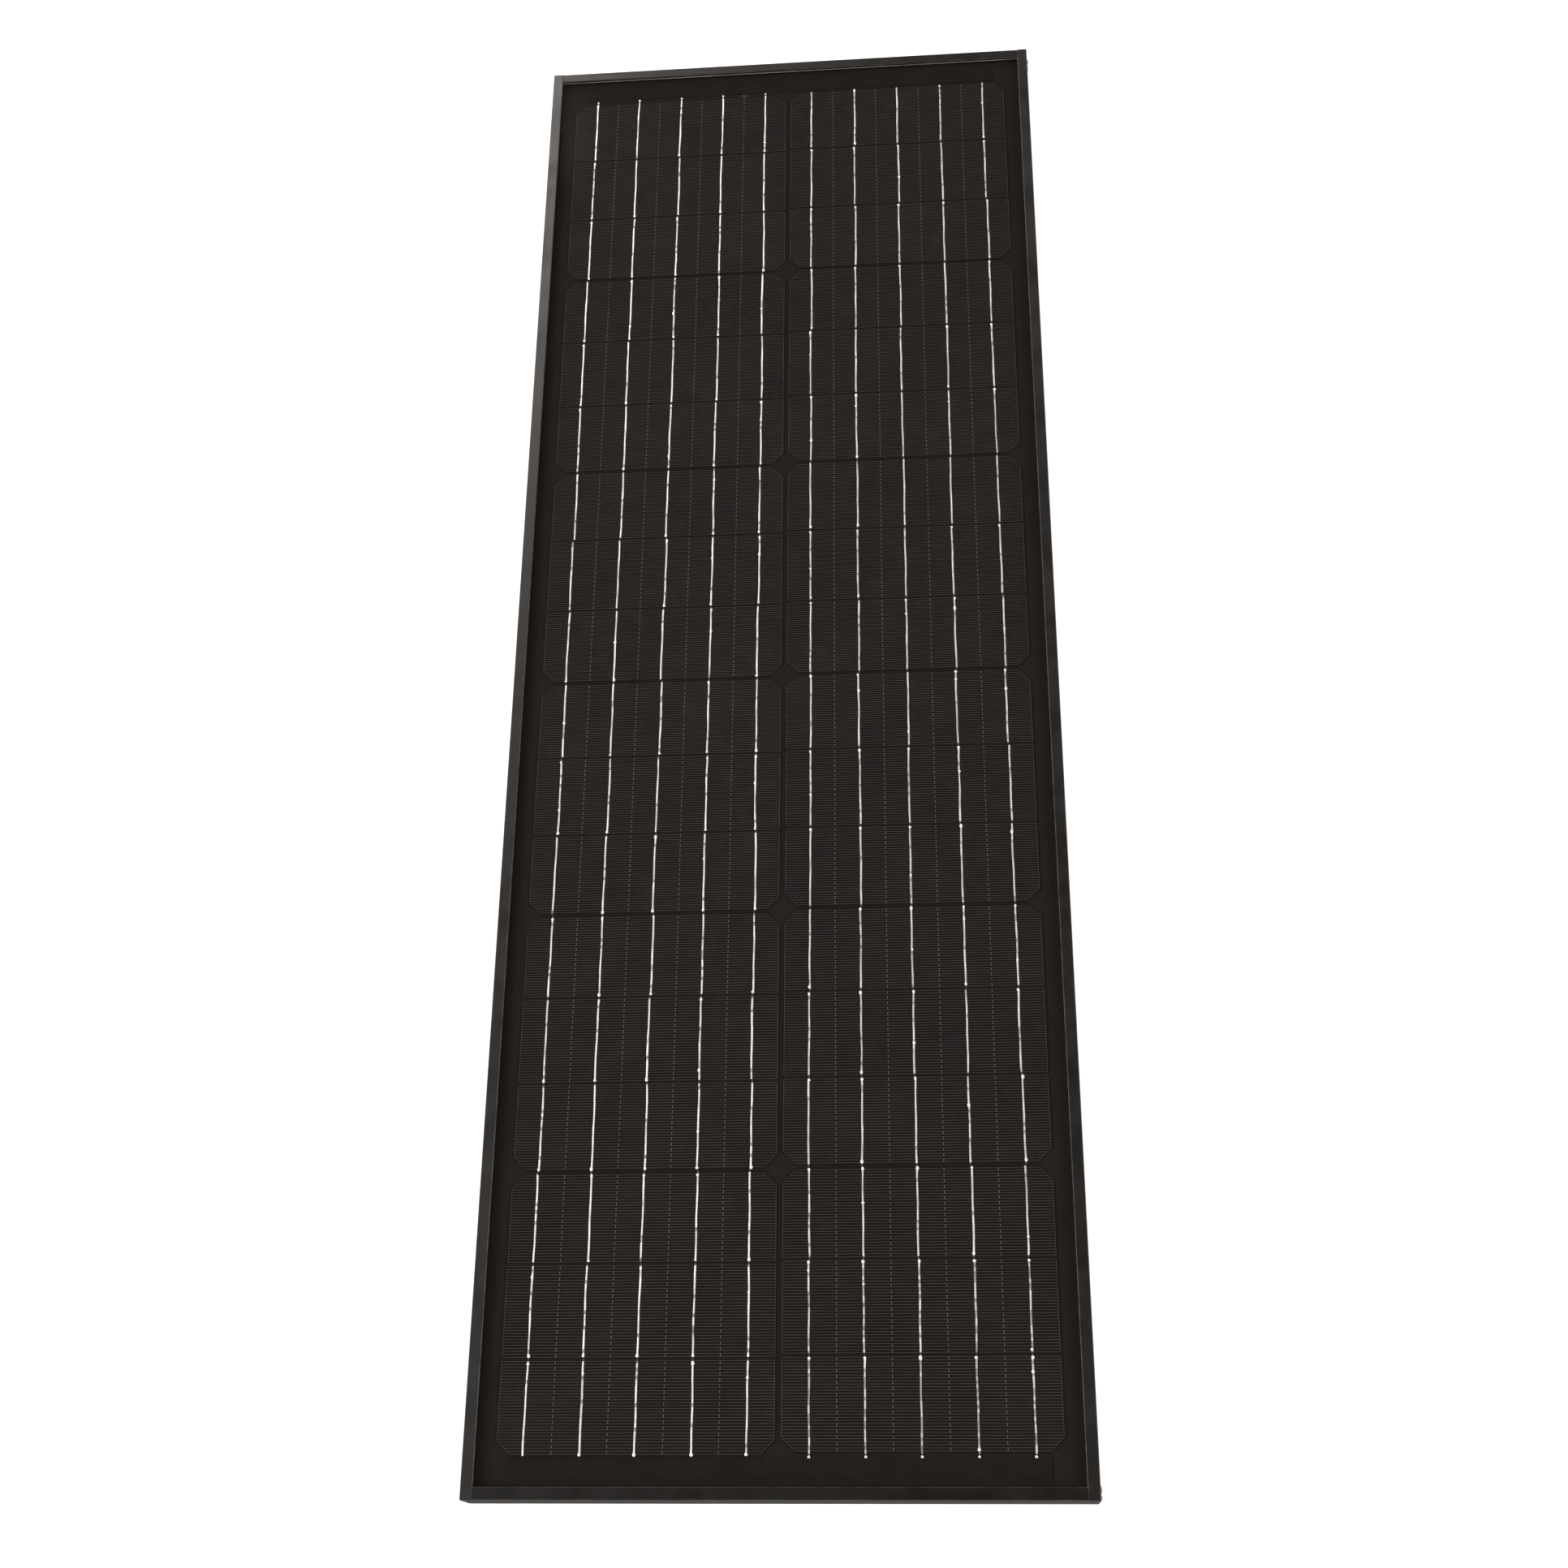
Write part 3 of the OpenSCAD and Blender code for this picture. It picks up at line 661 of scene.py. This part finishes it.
def make_ribbons(bright, dull, kink_shade, pitted, blob):
    for name, column, material in (("left", left_column, bright), ("right", right_column, dull)):
        bm, blobs = bmesh.new(), bmesh.new()
        for middle in ribbon_places(column, RIBBONS):
            for index in range(STRIPS):
                run = RibbonRun(column, index, middle + stray(0.42))
                worst = column is right_column and index >= STRIPS - WORST_STRIPS
                run.lay(0.55 if worst else 0.08)
                run.build(bm)
                run.drop_blobs(blobs)
        piece(name + "_ribbon_runs", bm, [material, kink_shade, pitted], replaces=[name + "_ribbons"])
        piece(name + "_solder_blobs", blobs, blob, smooth=True)


# ---------------------------------------------------------------- junction box and glands

LEAST_CORNER = 0.15 * MM


def rounded_outline(centre, half, radius, steps=6):
    """Corner-rounded rectangle of (x, y) points, counter-clockwise."""
    points = []
    for n, (sx, sy) in enumerate(((1, 1), (-1, 1), (-1, -1), (1, -1))):
        for k in range(steps + 1):
            angle = math.pi / 2 * (n + k / steps)
            points.append((centre[0] + sx * (half[0] - radius) + radius * math.cos(angle),
                           centre[1] + sy * (half[1] - radius) + radius * math.sin(angle)))
    return points


def bridge(bm, rings, closed=False):
    """Joins rings of vertices into a skin; an open one gets a cap at each end."""
    pairs = list(zip(rings, rings[1:])) + ([(rings[-1], rings[0])] if closed else [])
    for a, b in pairs:
        for i in range(len(a)):
            j = (i + 1) % len(a)
            bm.faces.new((a[i], a[j], b[j], b[i]))
    if not closed:
        bm.faces.new(rings[0][::-1])
        bm.faces.new(rings[-1])


def add_stack(bm, centre, half, radius, levels, closed=False):
    """Stacks rounded rectangles: each level is (inset, z)."""
    rings = []
    for inset, z in levels:
        size = (half[0] - inset, half[1] - inset)
        outline = rounded_outline(centre, size, max(radius - inset, LEAST_CORNER))
        rings.append([bm.verts.new((x, y, z)) for x, y in outline])
    bridge(bm, rings, closed)


def add_pad(bm, x0, x1, y0, y1, low, high, radius, soft):
    """Block with rounded corners and softened edges at z = low."""
    add_stack(bm, ((x0 + x1) / 2, (y0 + y1) / 2), ((x1 - x0) / 2, (y1 - y0) / 2), radius,
              [(0, high), (0, low + soft), (soft * 0.3, low + soft * 0.3), (soft, low)])


def add_turned(bm, axis, middle, profile, segments=48):
    """Turns a closed profile of (radius, place) about x or y; a radius may be a function of the angle."""
    rings = []
    for radius, place in profile:
        ring = []
        for n in range(segments):
            angle = 2 * math.pi * n / segments
            size = radius(angle) if callable(radius) else radius
            a, b = middle[0] + size * math.cos(angle), middle[1] + size * math.sin(angle)
            ring.append(bm.verts.new((place, a, b) if axis == "x" else (a, place, b)))
        rings.append(ring)
    bridge(bm, rings, closed=True)


class JunctionBox:
    """Sizes of the junction box, read from its CAD nodes. Its floor is up, and its lid faces down."""

    PAD_INSET = 4 * MM
    WALL = 1.8 * MM
    FLOOR = 1.6 * MM
    LID_THICK = 1.8 * MM
    RIM_GAP = 0.2 * MM
    CORNER = 4 * MM

    def __init__(self):
        pad_low, pad_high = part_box("jbox_pad")
        self.half_x = pad_high.x + self.PAD_INSET
        self.y0, self.y1 = pad_low.y - self.PAD_INSET, pad_high.y + self.PAD_INSET
        self.centre = (0, (self.y0 + self.y1) / 2)
        self.half = (self.half_x, (self.y1 - self.y0) / 2)
        self.top, self.sheet = pad_low.z, pad_high.z
        self.lid_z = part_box("jbox_lid")[0].z
        self.lid_top = self.lid_z + self.LID_THICK
        self.rim = self.lid_top + self.RIM_GAP
        self.floor = self.top - self.FLOOR
        pin_low, pin_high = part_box("lid_hinge_pin")
        self.hinge = ((pin_low.y + pin_high.y) / 2, (pin_low.z + pin_high.z) / 2)
        self.pin_end = pin_high.x

    def stack(self, bm, levels, closed=False):
        """A stack of the box's own outline."""
        add_stack(bm, self.centre, self.half, self.CORNER, levels, closed)


HINGE_R = 2.4 * MM
PIN_R = 1.2 * MM
BARREL_BORE = 1.25 * MM
BARREL_HALF = 30 * MM
BARREL_SOFT = 0.35 * MM
HINGE_GAP = 0.3 * MM
SPIGOT_R = 6 * MM
SPIGOT_BORE = 4.1 * MM
SPIGOT_END = 8 * MM
SPIGOT_NECK = 0.6 * MM
COLLAR_R = 7.2 * MM
THREAD_PITCH = 1.5 * MM
WALL_RIBS = 2
WALL_RIB_PITCH = 13 * MM
RIB_HALF = 0.6 * MM
FLOOR_RIB_PITCH = 16 * MM
POST_HALF = 4.5 * MM
PLATE_HALF = 6 * MM


def add_wall_ribs(bm, box):
    """Ribs down the outside of the end walls, apart from where the vent plug sits."""
    for side in (-1, 1):
        for n in range(-WALL_RIBS, WALL_RIBS + 1):
            if side > 0 and n == 0:
                continue
            x, y = side * box.half_x, box.centre[1] + n * WALL_RIB_PITCH
            x0, x1 = sorted((x, x - side * MM))
            add_pad(bm, x0, x1, y - RIB_HALF, y + RIB_HALF, box.rim + 1.0 * MM, box.top - 0.2 * MM,
                    0.3 * MM, 0.2 * MM)


def add_terminal_posts(bm, box):
    low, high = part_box("terminal_plates")
    for side in (-1, 1):
        x = side * (high.x - PLATE_HALF)
        add_pad(bm, x - POST_HALF, x + POST_HALF, low.y + 2 * MM, high.y - 2 * MM,
                high.z, box.floor + 0.5 * MM, 0.6 * MM, 0.2 * MM)


def add_floor_ribs(bm, box):
    for n in (-1, 0, 1):
        x = n * FLOOR_RIB_PITCH
        add_pad(bm, x - RIB_HALF, x + RIB_HALF, box.y0 + 6 * MM, box.centre[1] - 5 * MM,
                box.floor - 1.2 * MM, box.floor + 0.5 * MM, 0.4 * MM, 0.2 * MM)


def add_knuckles(bm, box):
    """The base's share of the hinge: a knuckle and its bracket at each end of the lid's barrel."""
    y, z = box.hinge
    near, far = BARREL_HALF + HINGE_GAP, box.pin_end
    for side in (-1, 1):
        add_turned(bm, "x", (y, z), [
            (PIN_R, side * near), (HINGE_R - BARREL_SOFT, side * near),
            (HINGE_R, side * (near + BARREL_SOFT)), (HINGE_R, side * (far - BARREL_SOFT)),
            (HINGE_R - BARREL_SOFT, side * far), (PIN_R, side * far)])
        x0, x1 = sorted((side * near, side * far))
        add_pad(bm, x0 + 0.2 * MM, x1 - 0.2 * MM, box.y1 - 0.5 * MM, y + 0.6 * MM,
                box.rim + 0.1 * MM, z + HINGE_R, 0.2 * MM, 0.15 * MM)


def add_spigot(bm, box, letter):
    """Threaded cable spigot, with a raised collar where it meets the wall."""
    low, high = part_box(f"gland_{letter}_seal")
    middle = ((low.x + high.x) / 2, (low.z + high.z) / 2)
    start = box.y0 - SPIGOT_NECK
    profile = [(SPIGOT_BORE, box.y0 + 0.5 * MM), (SPIGOT_R - 0.45 * MM, box.y0 + 0.5 * MM),
               (SPIGOT_R - 0.45 * MM, start)]
    while start - THREAD_PITCH > box.y0 - SPIGOT_END:
        profile += [(SPIGOT_R - 0.05 * MM, start - 0.55 * MM), (SPIGOT_R - 0.05 * MM, start - 0.8 * MM),
                    (SPIGOT_R - 0.5 * MM, start - THREAD_PITCH)]
        start -= THREAD_PITCH
    profile += [(SPIGOT_R - 0.7 * MM, box.y0 - SPIGOT_END), (SPIGOT_BORE, box.y0 - SPIGOT_END)]
    add_turned(bm, "y", middle, profile)
    add_turned(bm, "y", middle, [(SPIGOT_BORE, box.y0 + 0.3 * MM), (COLLAR_R, box.y0 + 0.3 * MM),
                                 (COLLAR_R - 0.3 * MM, box.y0 - 0.4 * MM), (SPIGOT_BORE, box.y0 - 0.4 * MM)])


def make_box_base(box, material):
    """The tray, with a groove for the gasket round its rim."""
    bm = bmesh.new()
    outer, inner = box.WALL / 2 - 0.4 * MM, box.WALL / 2 + 0.4 * MM
    groove = box.rim + 0.5 * MM
    box.stack(bm, [
        (0.4 * MM, box.top), (0, box.top - 0.4 * MM), (0, box.rim + 0.3 * MM), (0.25 * MM, box.rim),
        (outer, box.rim), (outer, groove), (inner, groove), (inner, box.rim), (box.WALL, box.rim),
        (box.WALL + 0.15 * MM, box.floor - 0.5 * MM), (box.WALL + 0.6 * MM, box.floor)])
    add_wall_ribs(bm, box)
    add_terminal_posts(bm, box)
    add_floor_ribs(bm, box)
    add_knuckles(bm, box)
    for letter in "ab":
        add_spigot(bm, box, letter)
    piece("jbox_housing", bm, material, replaces=["jbox_base"])


def make_lid_gasket(box, material):
    """Foamed ring that lies in the rim's groove, its crown against the lid."""
    bm = bmesh.new()
    outer, inner = box.WALL / 2 - 0.35 * MM, box.WALL / 2 + 0.35 * MM
    shoulder, crown = box.lid_top + 0.2 * MM, box.lid_top + 0.02 * MM
    box.stack(bm, [(outer, box.rim + 0.45 * MM), (outer, shoulder), (box.WALL / 2 - 0.2 * MM, crown),
                   (box.WALL / 2 + 0.2 * MM, crown), (inner, shoulder), (inner, box.rim + 0.45 * MM)],
              closed=True)
    piece("lid_seal_ring", bm, material, replaces=["lid_gasket"])


LID_BORDER = 12 * MM
LID_RELIEF = 0.5 * MM
GROOVE_PITCH = 12 * MM
GROOVE_WIDTH = 1 * MM
LIP_GAP = 0.5 * MM
LID_RIB_PITCH = 24 * MM
TAB_HALF = 8 * MM
TAB_TALL = 7 * MM
GRIP_RIDGES = 3


def add_lid_plate(bm, box):
    """The lid's slab, and proud of it the border and the strips between the grooves."""
    slab, buried = box.lid_z + LID_RELIEF, box.lid_z + LID_RELIEF + 0.2 * MM
    box.stack(bm, [(0.15 * MM, box.lid_top), (0, box.lid_top - 0.2 * MM), (0, box.lid_z + 0.9 * MM),
                   (0.35 * MM, slab), (0.6 * MM, slab)])
    box.stack(bm, [(0.35 * MM, buried), (0.5 * MM, box.lid_z + 0.2 * MM), (0.9 * MM, box.lid_z),
                   (LID_BORDER - 0.3 * MM, box.lid_z), (LID_BORDER, box.lid_z + 0.2 * MM),
                   (LID_BORDER, buried)], closed=True)
    reach = box.half_x - LID_BORDER
    edges = [-reach] + [n * GROOVE_PITCH for n in range(-3, 4)] + [reach]
    for n, (left, right) in enumerate(zip(edges, edges[1:])):
        x0 = left if n == 0 else left + GROOVE_WIDTH
        x1 = right if n == len(edges) - 2 else right - GROOVE_WIDTH
        add_pad(bm, x0, x1, box.y0 + LID_BORDER - 0.05 * MM, box.y1 - LID_BORDER + 0.05 * MM,
                box.lid_z, buried, 0.4 * MM, 0.2 * MM)


def add_lid_inside(bm, box):
    """A lip that finds the tray's wall, and three stiffening ribs."""
    lip = box.WALL + LIP_GAP
    root = box.lid_top - 0.2 * MM
    box.stack(bm, [(lip, root), (lip, box.lid_top + 1.0 * MM), (lip + 0.15 * MM, box.lid_top + 1.2 * MM),
                   (lip + 0.8 * MM, box.lid_top + 1.2 * MM), (lip + 0.95 * MM, root)], closed=True)
    for n in (-1, 0, 1):
        add_stack(bm, (n * LID_RIB_PITCH, box.centre[1]), (0.5 * MM, box.half[1] - lip - 6 * MM), 0.45 * MM,
                  [(0, root), (0, box.lid_top + 0.8 * MM), (0.15 * MM, box.lid_top + 0.95 * MM)])


def add_lid_barrel(bm, box):
    """The lid's share of the hinge, and the web that carries it."""
    y, z = box.hinge
    add_turned(bm, "x", (y, z), [
        (BARREL_BORE, -BARREL_HALF), (HINGE_R - BARREL_SOFT, -BARREL_HALF),
        (HINGE_R, -BARREL_HALF + BARREL_SOFT), (HINGE_R, BARREL_HALF - BARREL_SOFT),
        (HINGE_R - BARREL_SOFT, BARREL_HALF), (BARREL_BORE, BARREL_HALF)])
    add_pad(bm, -BARREL_HALF + 0.3 * MM, BARREL_HALF - 0.3 * MM, box.y1 - 0.5 * MM, y - 1.3 * MM,
            box.lid_z + 0.05 * MM, box.lid_top, 0.3 * MM, 0.2 * MM)


def add_finger_tab(bm, box):
    """The tab that opens the lid, with grip ridges."""
    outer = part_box("jbox_lid")[0].y
    face = outer + 0.25 * MM
    add_pad(bm, -TAB_HALF, TAB_HALF, face, box.y0 - 0.3 * MM, box.lid_z, box.lid_z + TAB_TALL,
            0.5 * MM, 0.3 * MM)
    add_pad(bm, -TAB_HALF, TAB_HALF, face, box.y0 + 0.6 * MM, box.lid_z, box.lid_top, 0.3 * MM, 0.3 * MM)
    ridge = TAB_HALF - 1.5 * MM
    for n in range(GRIP_RIDGES):
        z = box.lid_z + (1.6 + 1.7 * n) * MM
        add_pad(bm, -ridge, ridge, outer, outer + 0.6 * MM, z, z + 0.8 * MM, 0.2 * MM, 0.2 * MM)


def make_box_lid(box, material):
    bm = bmesh.new()
    add_lid_plate(bm, box)
    add_lid_inside(bm, box)
    add_lid_barrel(bm, box)
    add_finger_tab(bm, box)
    piece("jbox_cover", bm, material, body="jbox_lid", replaces=["jbox_lid"])


NUT_FLATS = 14.6 * MM
NUT_SIDES = 6
NUT_SEGMENTS = 144
NUT_THREAD = 6.05 * MM
NUT_MOUTH = 3.6 * MM
GRIP_FLUTES = 18
EDGE_SOFT = 0.25 * MM


def hexagon(flats, limit):
    """Radius of a hexagon of the given width across flats, its corners rounded off at a limit."""
    def radius(angle):
        half_side = math.pi / NUT_SIDES
        turn = (angle + half_side) % (2 * half_side) - half_side
        full = flats / 2 / math.cos(turn)
        spare = limit - EDGE_SOFT - full
        return full if spare > 0 else limit - EDGE_SOFT * math.exp(spare / EDGE_SOFT)
    return radius


def gripped(size, depth):
    """Radius of a round shoulder with moulded grip flutes."""
    return lambda angle: size + depth * math.cos(GRIP_FLUTES * angle)


def make_gland_nuts(material):
    """Hexagon nuts with a fluted shoulder, and a dome with the cable's mouth."""
    for letter in "ab":
        low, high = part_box(f"gland_{letter}_nut")
        middle = ((low.x + high.x) / 2, (low.z + high.z) / 2)
        near, far = high.y, low.y
        body = hexagon(NUT_FLATS, 8.3 * MM)
        profile = [
            (NUT_THREAD, near), (7.0 * MM, near),
            (hexagon(NUT_FLATS - 0.5 * MM, 7.6 * MM), near - 0.25 * MM),
            (body, near - 0.7 * MM), (body, near - 5.6 * MM),
            (hexagon(NUT_FLATS - 0.6 * MM, 7.4 * MM), near - 6.3 * MM),
            (gripped(6.85 * MM, 0.12 * MM), near - 6.6 * MM),
            (gripped(6.75 * MM, 0.15 * MM), near - 9.3 * MM),
            (6.3 * MM, far + 1.3 * MM), (5.5 * MM, far + 0.5 * MM), (4.5 * MM, far + 0.1 * MM),
            (4.1 * MM, far), (3.8 * MM, far + 0.1 * MM), (NUT_MOUTH, far + 0.5 * MM),
            (NUT_MOUTH, far + 2.0 * MM), (NUT_THREAD, far + 2.0 * MM)]
        bm = bmesh.new()
        add_turned(bm, "y", middle, profile, NUT_SEGMENTS)
        piece(f"gland_{letter}_dome_nut", bm, material, body=f"gland_{letter}_nut",
              replaces=[f"gland_{letter}_nut"])


BEAD_STEP = 1.5 * MM


def make_silicone_bead(box, material):
    """Silicone squeezed out round the junction box, uneven as a hand-laid bead is."""
    outline = rounded_outline(box.centre, box.half, box.CORNER, 10)
    dense = []
    for (x0, y0), (x1, y1) in zip(outline, outline[1:] + outline[:1]):
        count = max(1, round(math.hypot(x1 - x0, y1 - y0) / BEAD_STEP))
        dense += [(x0 + (x1 - x0) * n / count, y0 + (y1 - y0) * n / count) for n in range(count)]
    swells, swell = [], 0.0
    for _ in dense:
        swell = swell * 0.8 + stray(0.14)
        swells.append(swell)
    inner = -1.0 * MM
    section = [(inner, box.top - 0.05 * MM), (0.5 * MM, box.top - 0.35 * MM), (1.2 * MM, box.top + 0.1 * MM),
               (1.7 * MM, box.sheet - 0.15 * MM), (1.8 * MM, box.sheet - 0.01 * MM),
               (inner, box.sheet - 0.01 * MM)]
    bm = bmesh.new()
    rings = []
    for reach, z in section:
        ring = []
        for n, (x, y) in enumerate(dense):
            before, after = dense[n - 1], dense[(n + 1) % len(dense)]
            along = Vector((after[0] - before[0], after[1] - before[1], 0)).normalized()
            push = reach if reach == inner else reach + swells[n]
            ring.append(bm.verts.new((x + along.y * push, y - along.x * push, z)))
        rings.append(ring)
    bridge(bm, rings, closed=True)
    piece("jbox_silicone_bead", bm, material, smooth=True)


LABEL_CORNER = 3 * MM
RULE_INSET = 2.0 * MM
RULE_WIDTH = 0.5 * MM


def make_label(film_material, rule_material):
    """Blank rating label: a satin film with rounded corners and one thin printed rule round it."""
    low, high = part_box("blank_label")
    centre = ((low.x + high.x) / 2, (low.y + high.y) / 2)
    half = ((high.x - low.x) / 2, (high.y - low.y) / 2)
    buried = low.z + 0.02 * MM
    bm = bmesh.new()
    add_stack(bm, centre, half, LABEL_CORNER,
              [(0, high.z), (0, low.z + 0.03 * MM), (0.05 * MM, low.z + 0.01 * MM)])
    first_rule = len(bm.faces)
    add_stack(bm, centre, half, LABEL_CORNER,
              [(RULE_INSET, buried), (RULE_INSET, low.z), (RULE_INSET + RULE_WIDTH, low.z),
               (RULE_INSET + RULE_WIDTH, buried)], closed=True)
    paint_faces(bm, first_rule, 1)
    piece("rear_label", bm, [film_material, rule_material], replaces=["blank_label"])


# ---------------------------------------------------------------- stage

FLOOR_HALF = 6


def make_stage():
    """A pale floor, seen from above only."""
    bm = bmesh.new()
    corners = ((-1, -1), (1, -1), (1, 1), (-1, 1))
    bm.faces.new([bm.verts.new((x * FLOOR_HALF, y * FLOOR_HALF, CAD_BOX[0].z)) for x, y in corners])
    data = bpy.data.meshes.new("floor")
    bm.to_mesh(data)
    bm.free()
    floor = bpy.data.objects.new("floor", data)
    bpy.context.scene.collection.objects.link(floor)
    paint = Material("floor_paint", (0.78, 0.78, 0.775), 0.9, specular=0.1)
    paint.set("Emission Color", (1, 1, 0.99, 1))
    paint.set("Emission Strength", 0.7)
    below = paint.add("ShaderNodeNewGeometry", {}).outputs["Backfacing"]
    through = paint.add("ShaderNodeBsdfTransparent", {}).outputs[0]
    surface = paint.add("ShaderNodeMixShader", {0: below, 1: paint.shader.outputs[0], 2: through}).outputs[0]
    paint.links.new(surface, paint.nodes["Material Output"].inputs["Surface"])
    data.materials.append(paint.data)


def area_light(name, place, aim, size, power, colour, gloss_only=False):
    data = bpy.data.lights.new(name, "AREA")
    data.size = size
    data.energy = power
    data.color = colour
    light = bpy.data.objects.new(name, data)
    light.location = place
    light.visible_diffuse = not gloss_only
    light.rotation_euler = (Vector(aim) - Vector(place)).to_track_quat("-Z", "Y").to_euler()
    bpy.context.scene.collection.objects.link(light)


def make_world():
    """A soft surround, white at the horizon and dim overhead."""
    world = bpy.data.worlds.new("world")
    world.use_nodes = True
    work = NodeTree(world.node_tree, "Generated")
    height = work.ramp(work.part(work.place, "Z"), 0.15, 0.75)
    sky = work.mix((0.95, 0.92, 0.89, 1), (0.20, 0.185, 0.175, 1), height)
    work.links.new(sky, work.nodes["Background"].inputs["Color"])
    bpy.context.scene.world = world


def make_lights():
    """A key and a fill, and a light behind that shows only as gloss on the far end of the rails."""
    area_light("key", (-2.6, -0.4, 2.6), (0, 0, 0), 2.2, 95, (1.0, 0.98, 0.95))
    area_light("fill", (2.6, -1.2, 2.2), (0, 0, 0), 2.0, 60, (1.0, 0.99, 0.97))
    area_light("rear_left", (-1.1, 2.2, 1.6), (-0.1, 0.4, 0), 0.8, 50, (1.0, 0.93, 0.88), gloss_only=True)
    bpy.context.scene.view_settings.view_transform = "Standard"


# ---------------------------------------------------------------- assembly

def dress_cad_nodes():
    """Gives every CAD node that stays in view its material."""
    # Each rail's last colour is painted highlight on its chamfers, partly edge wear, dimmer on the end
    # rails.
    long_rail = anodised("anodised_long", "y", 0.52, (0.085, 0.075, 0.068))
    end_rail = anodised("anodised_end", "x", 0.33, (0.040, 0.034, 0.030))
    solder = tin("bus_tin", (0.60, 0.58, 0.55), 0.35)
    cover = film("cover_film", (0.0128, 0.0108, 0.0094))
    seal_rubber = rubber("seal_rubber", (0.012, 0.011, 0.010))
    gasket_rubber = rubber("gasket_rubber", (0.035, 0.035, 0.036))
    screw = steel("screw_steel", (0.38, 0.38, 0.39))
    brass = steel("terminal_brass", (0.72, 0.55, 0.30), 0.28, 0.9)
    looks = {
        "left_rail": long_rail, "right_rail": long_rail, "top_rail": end_rail, "bottom_rail": end_rail,
        "corner_screws": screw, "edge_seal": seal_rubber,
        "front_glass": clear("solar_glass", 0.009),
        "left_cell_string": silicon("silicon_left", (0.0128, 0.0104, 0.0094)),
        "right_cell_string": silicon("silicon_right", (0.0112, 0.0094, 0.0086)),
        "top_bus_ribbons": solder, "bottom_bus_ribbon": solder, "bus_leads": sleeved_lead("lead_tin"),
        "top_cover_strip": cover, "bottom_cover_strip": cover,
        "backsheet": backsheet_film("backsheet_film"),
        "jbox_pad": gasket_rubber, "vent_plug": seal_rubber, "lid_hinge_pin": screw,
        "terminal_plates": brass, "terminal_screws": screw, "bypass_diode": diode_finish("diode_epoxy"),
    }
    for letter in "ab":
        looks[f"gland_{letter}_seal"] = gasket_rubber
        looks[f"gland_{letter}_ring"] = moulded(f"ring_{letter}", (0.22, 0.22, 0.21))
    for node, material in looks.items():
        NODES[node].data.materials.clear()
        NODES[node].data.materials.append(material)


make_camera()
make_world()
make_lights()
make_stage()
dress_cad_nodes()
jbox = JunctionBox()
make_box_base(jbox, moulded("housing_plastic", (0.016, 0.016, 0.017)))
make_lid_gasket(jbox, rubber("lid_foam", (0.10, 0.10, 0.10), 0.8))
make_box_lid(jbox, moulded("cover_plastic", (0.018, 0.018, 0.019), 0.42))
make_gland_nuts(moulded("nut_plastic", (0.014, 0.014, 0.015), 0.38, 1400))
make_silicone_bead(jbox, rubber("silicone_bead", (0.020, 0.020, 0.021), 0.5))
make_label(satin("label_film", (0.72, 0.72, 0.70)), satin("label_rule", (0.25, 0.25, 0.25)))
make_encapsulant_edges(moulded("encapsulant_resin", (0.55, 0.55, 0.52), 0.3))
make_prints(printed_silver("printed_fingers", (0.104, 0.094, 0.089)),
            printed_silver("printed_links", (0.24, 0.22, 0.21)))
# The third tin is painted shade for the ribbons' kinks.
make_ribbons(tin("tin_bright", (1.0, 0.985, 0.97), 0.3), tin("tin_dull", (0.82, 0.79, 0.775), 0.36, 0.8),
             tin("tin_kink_shade", (0.045, 0.040, 0.038), 0.5), tin("tin_pitted", (0.42, 0.395, 0.38), 0.5, 1.5),
             blob_tin("solder_blob"))
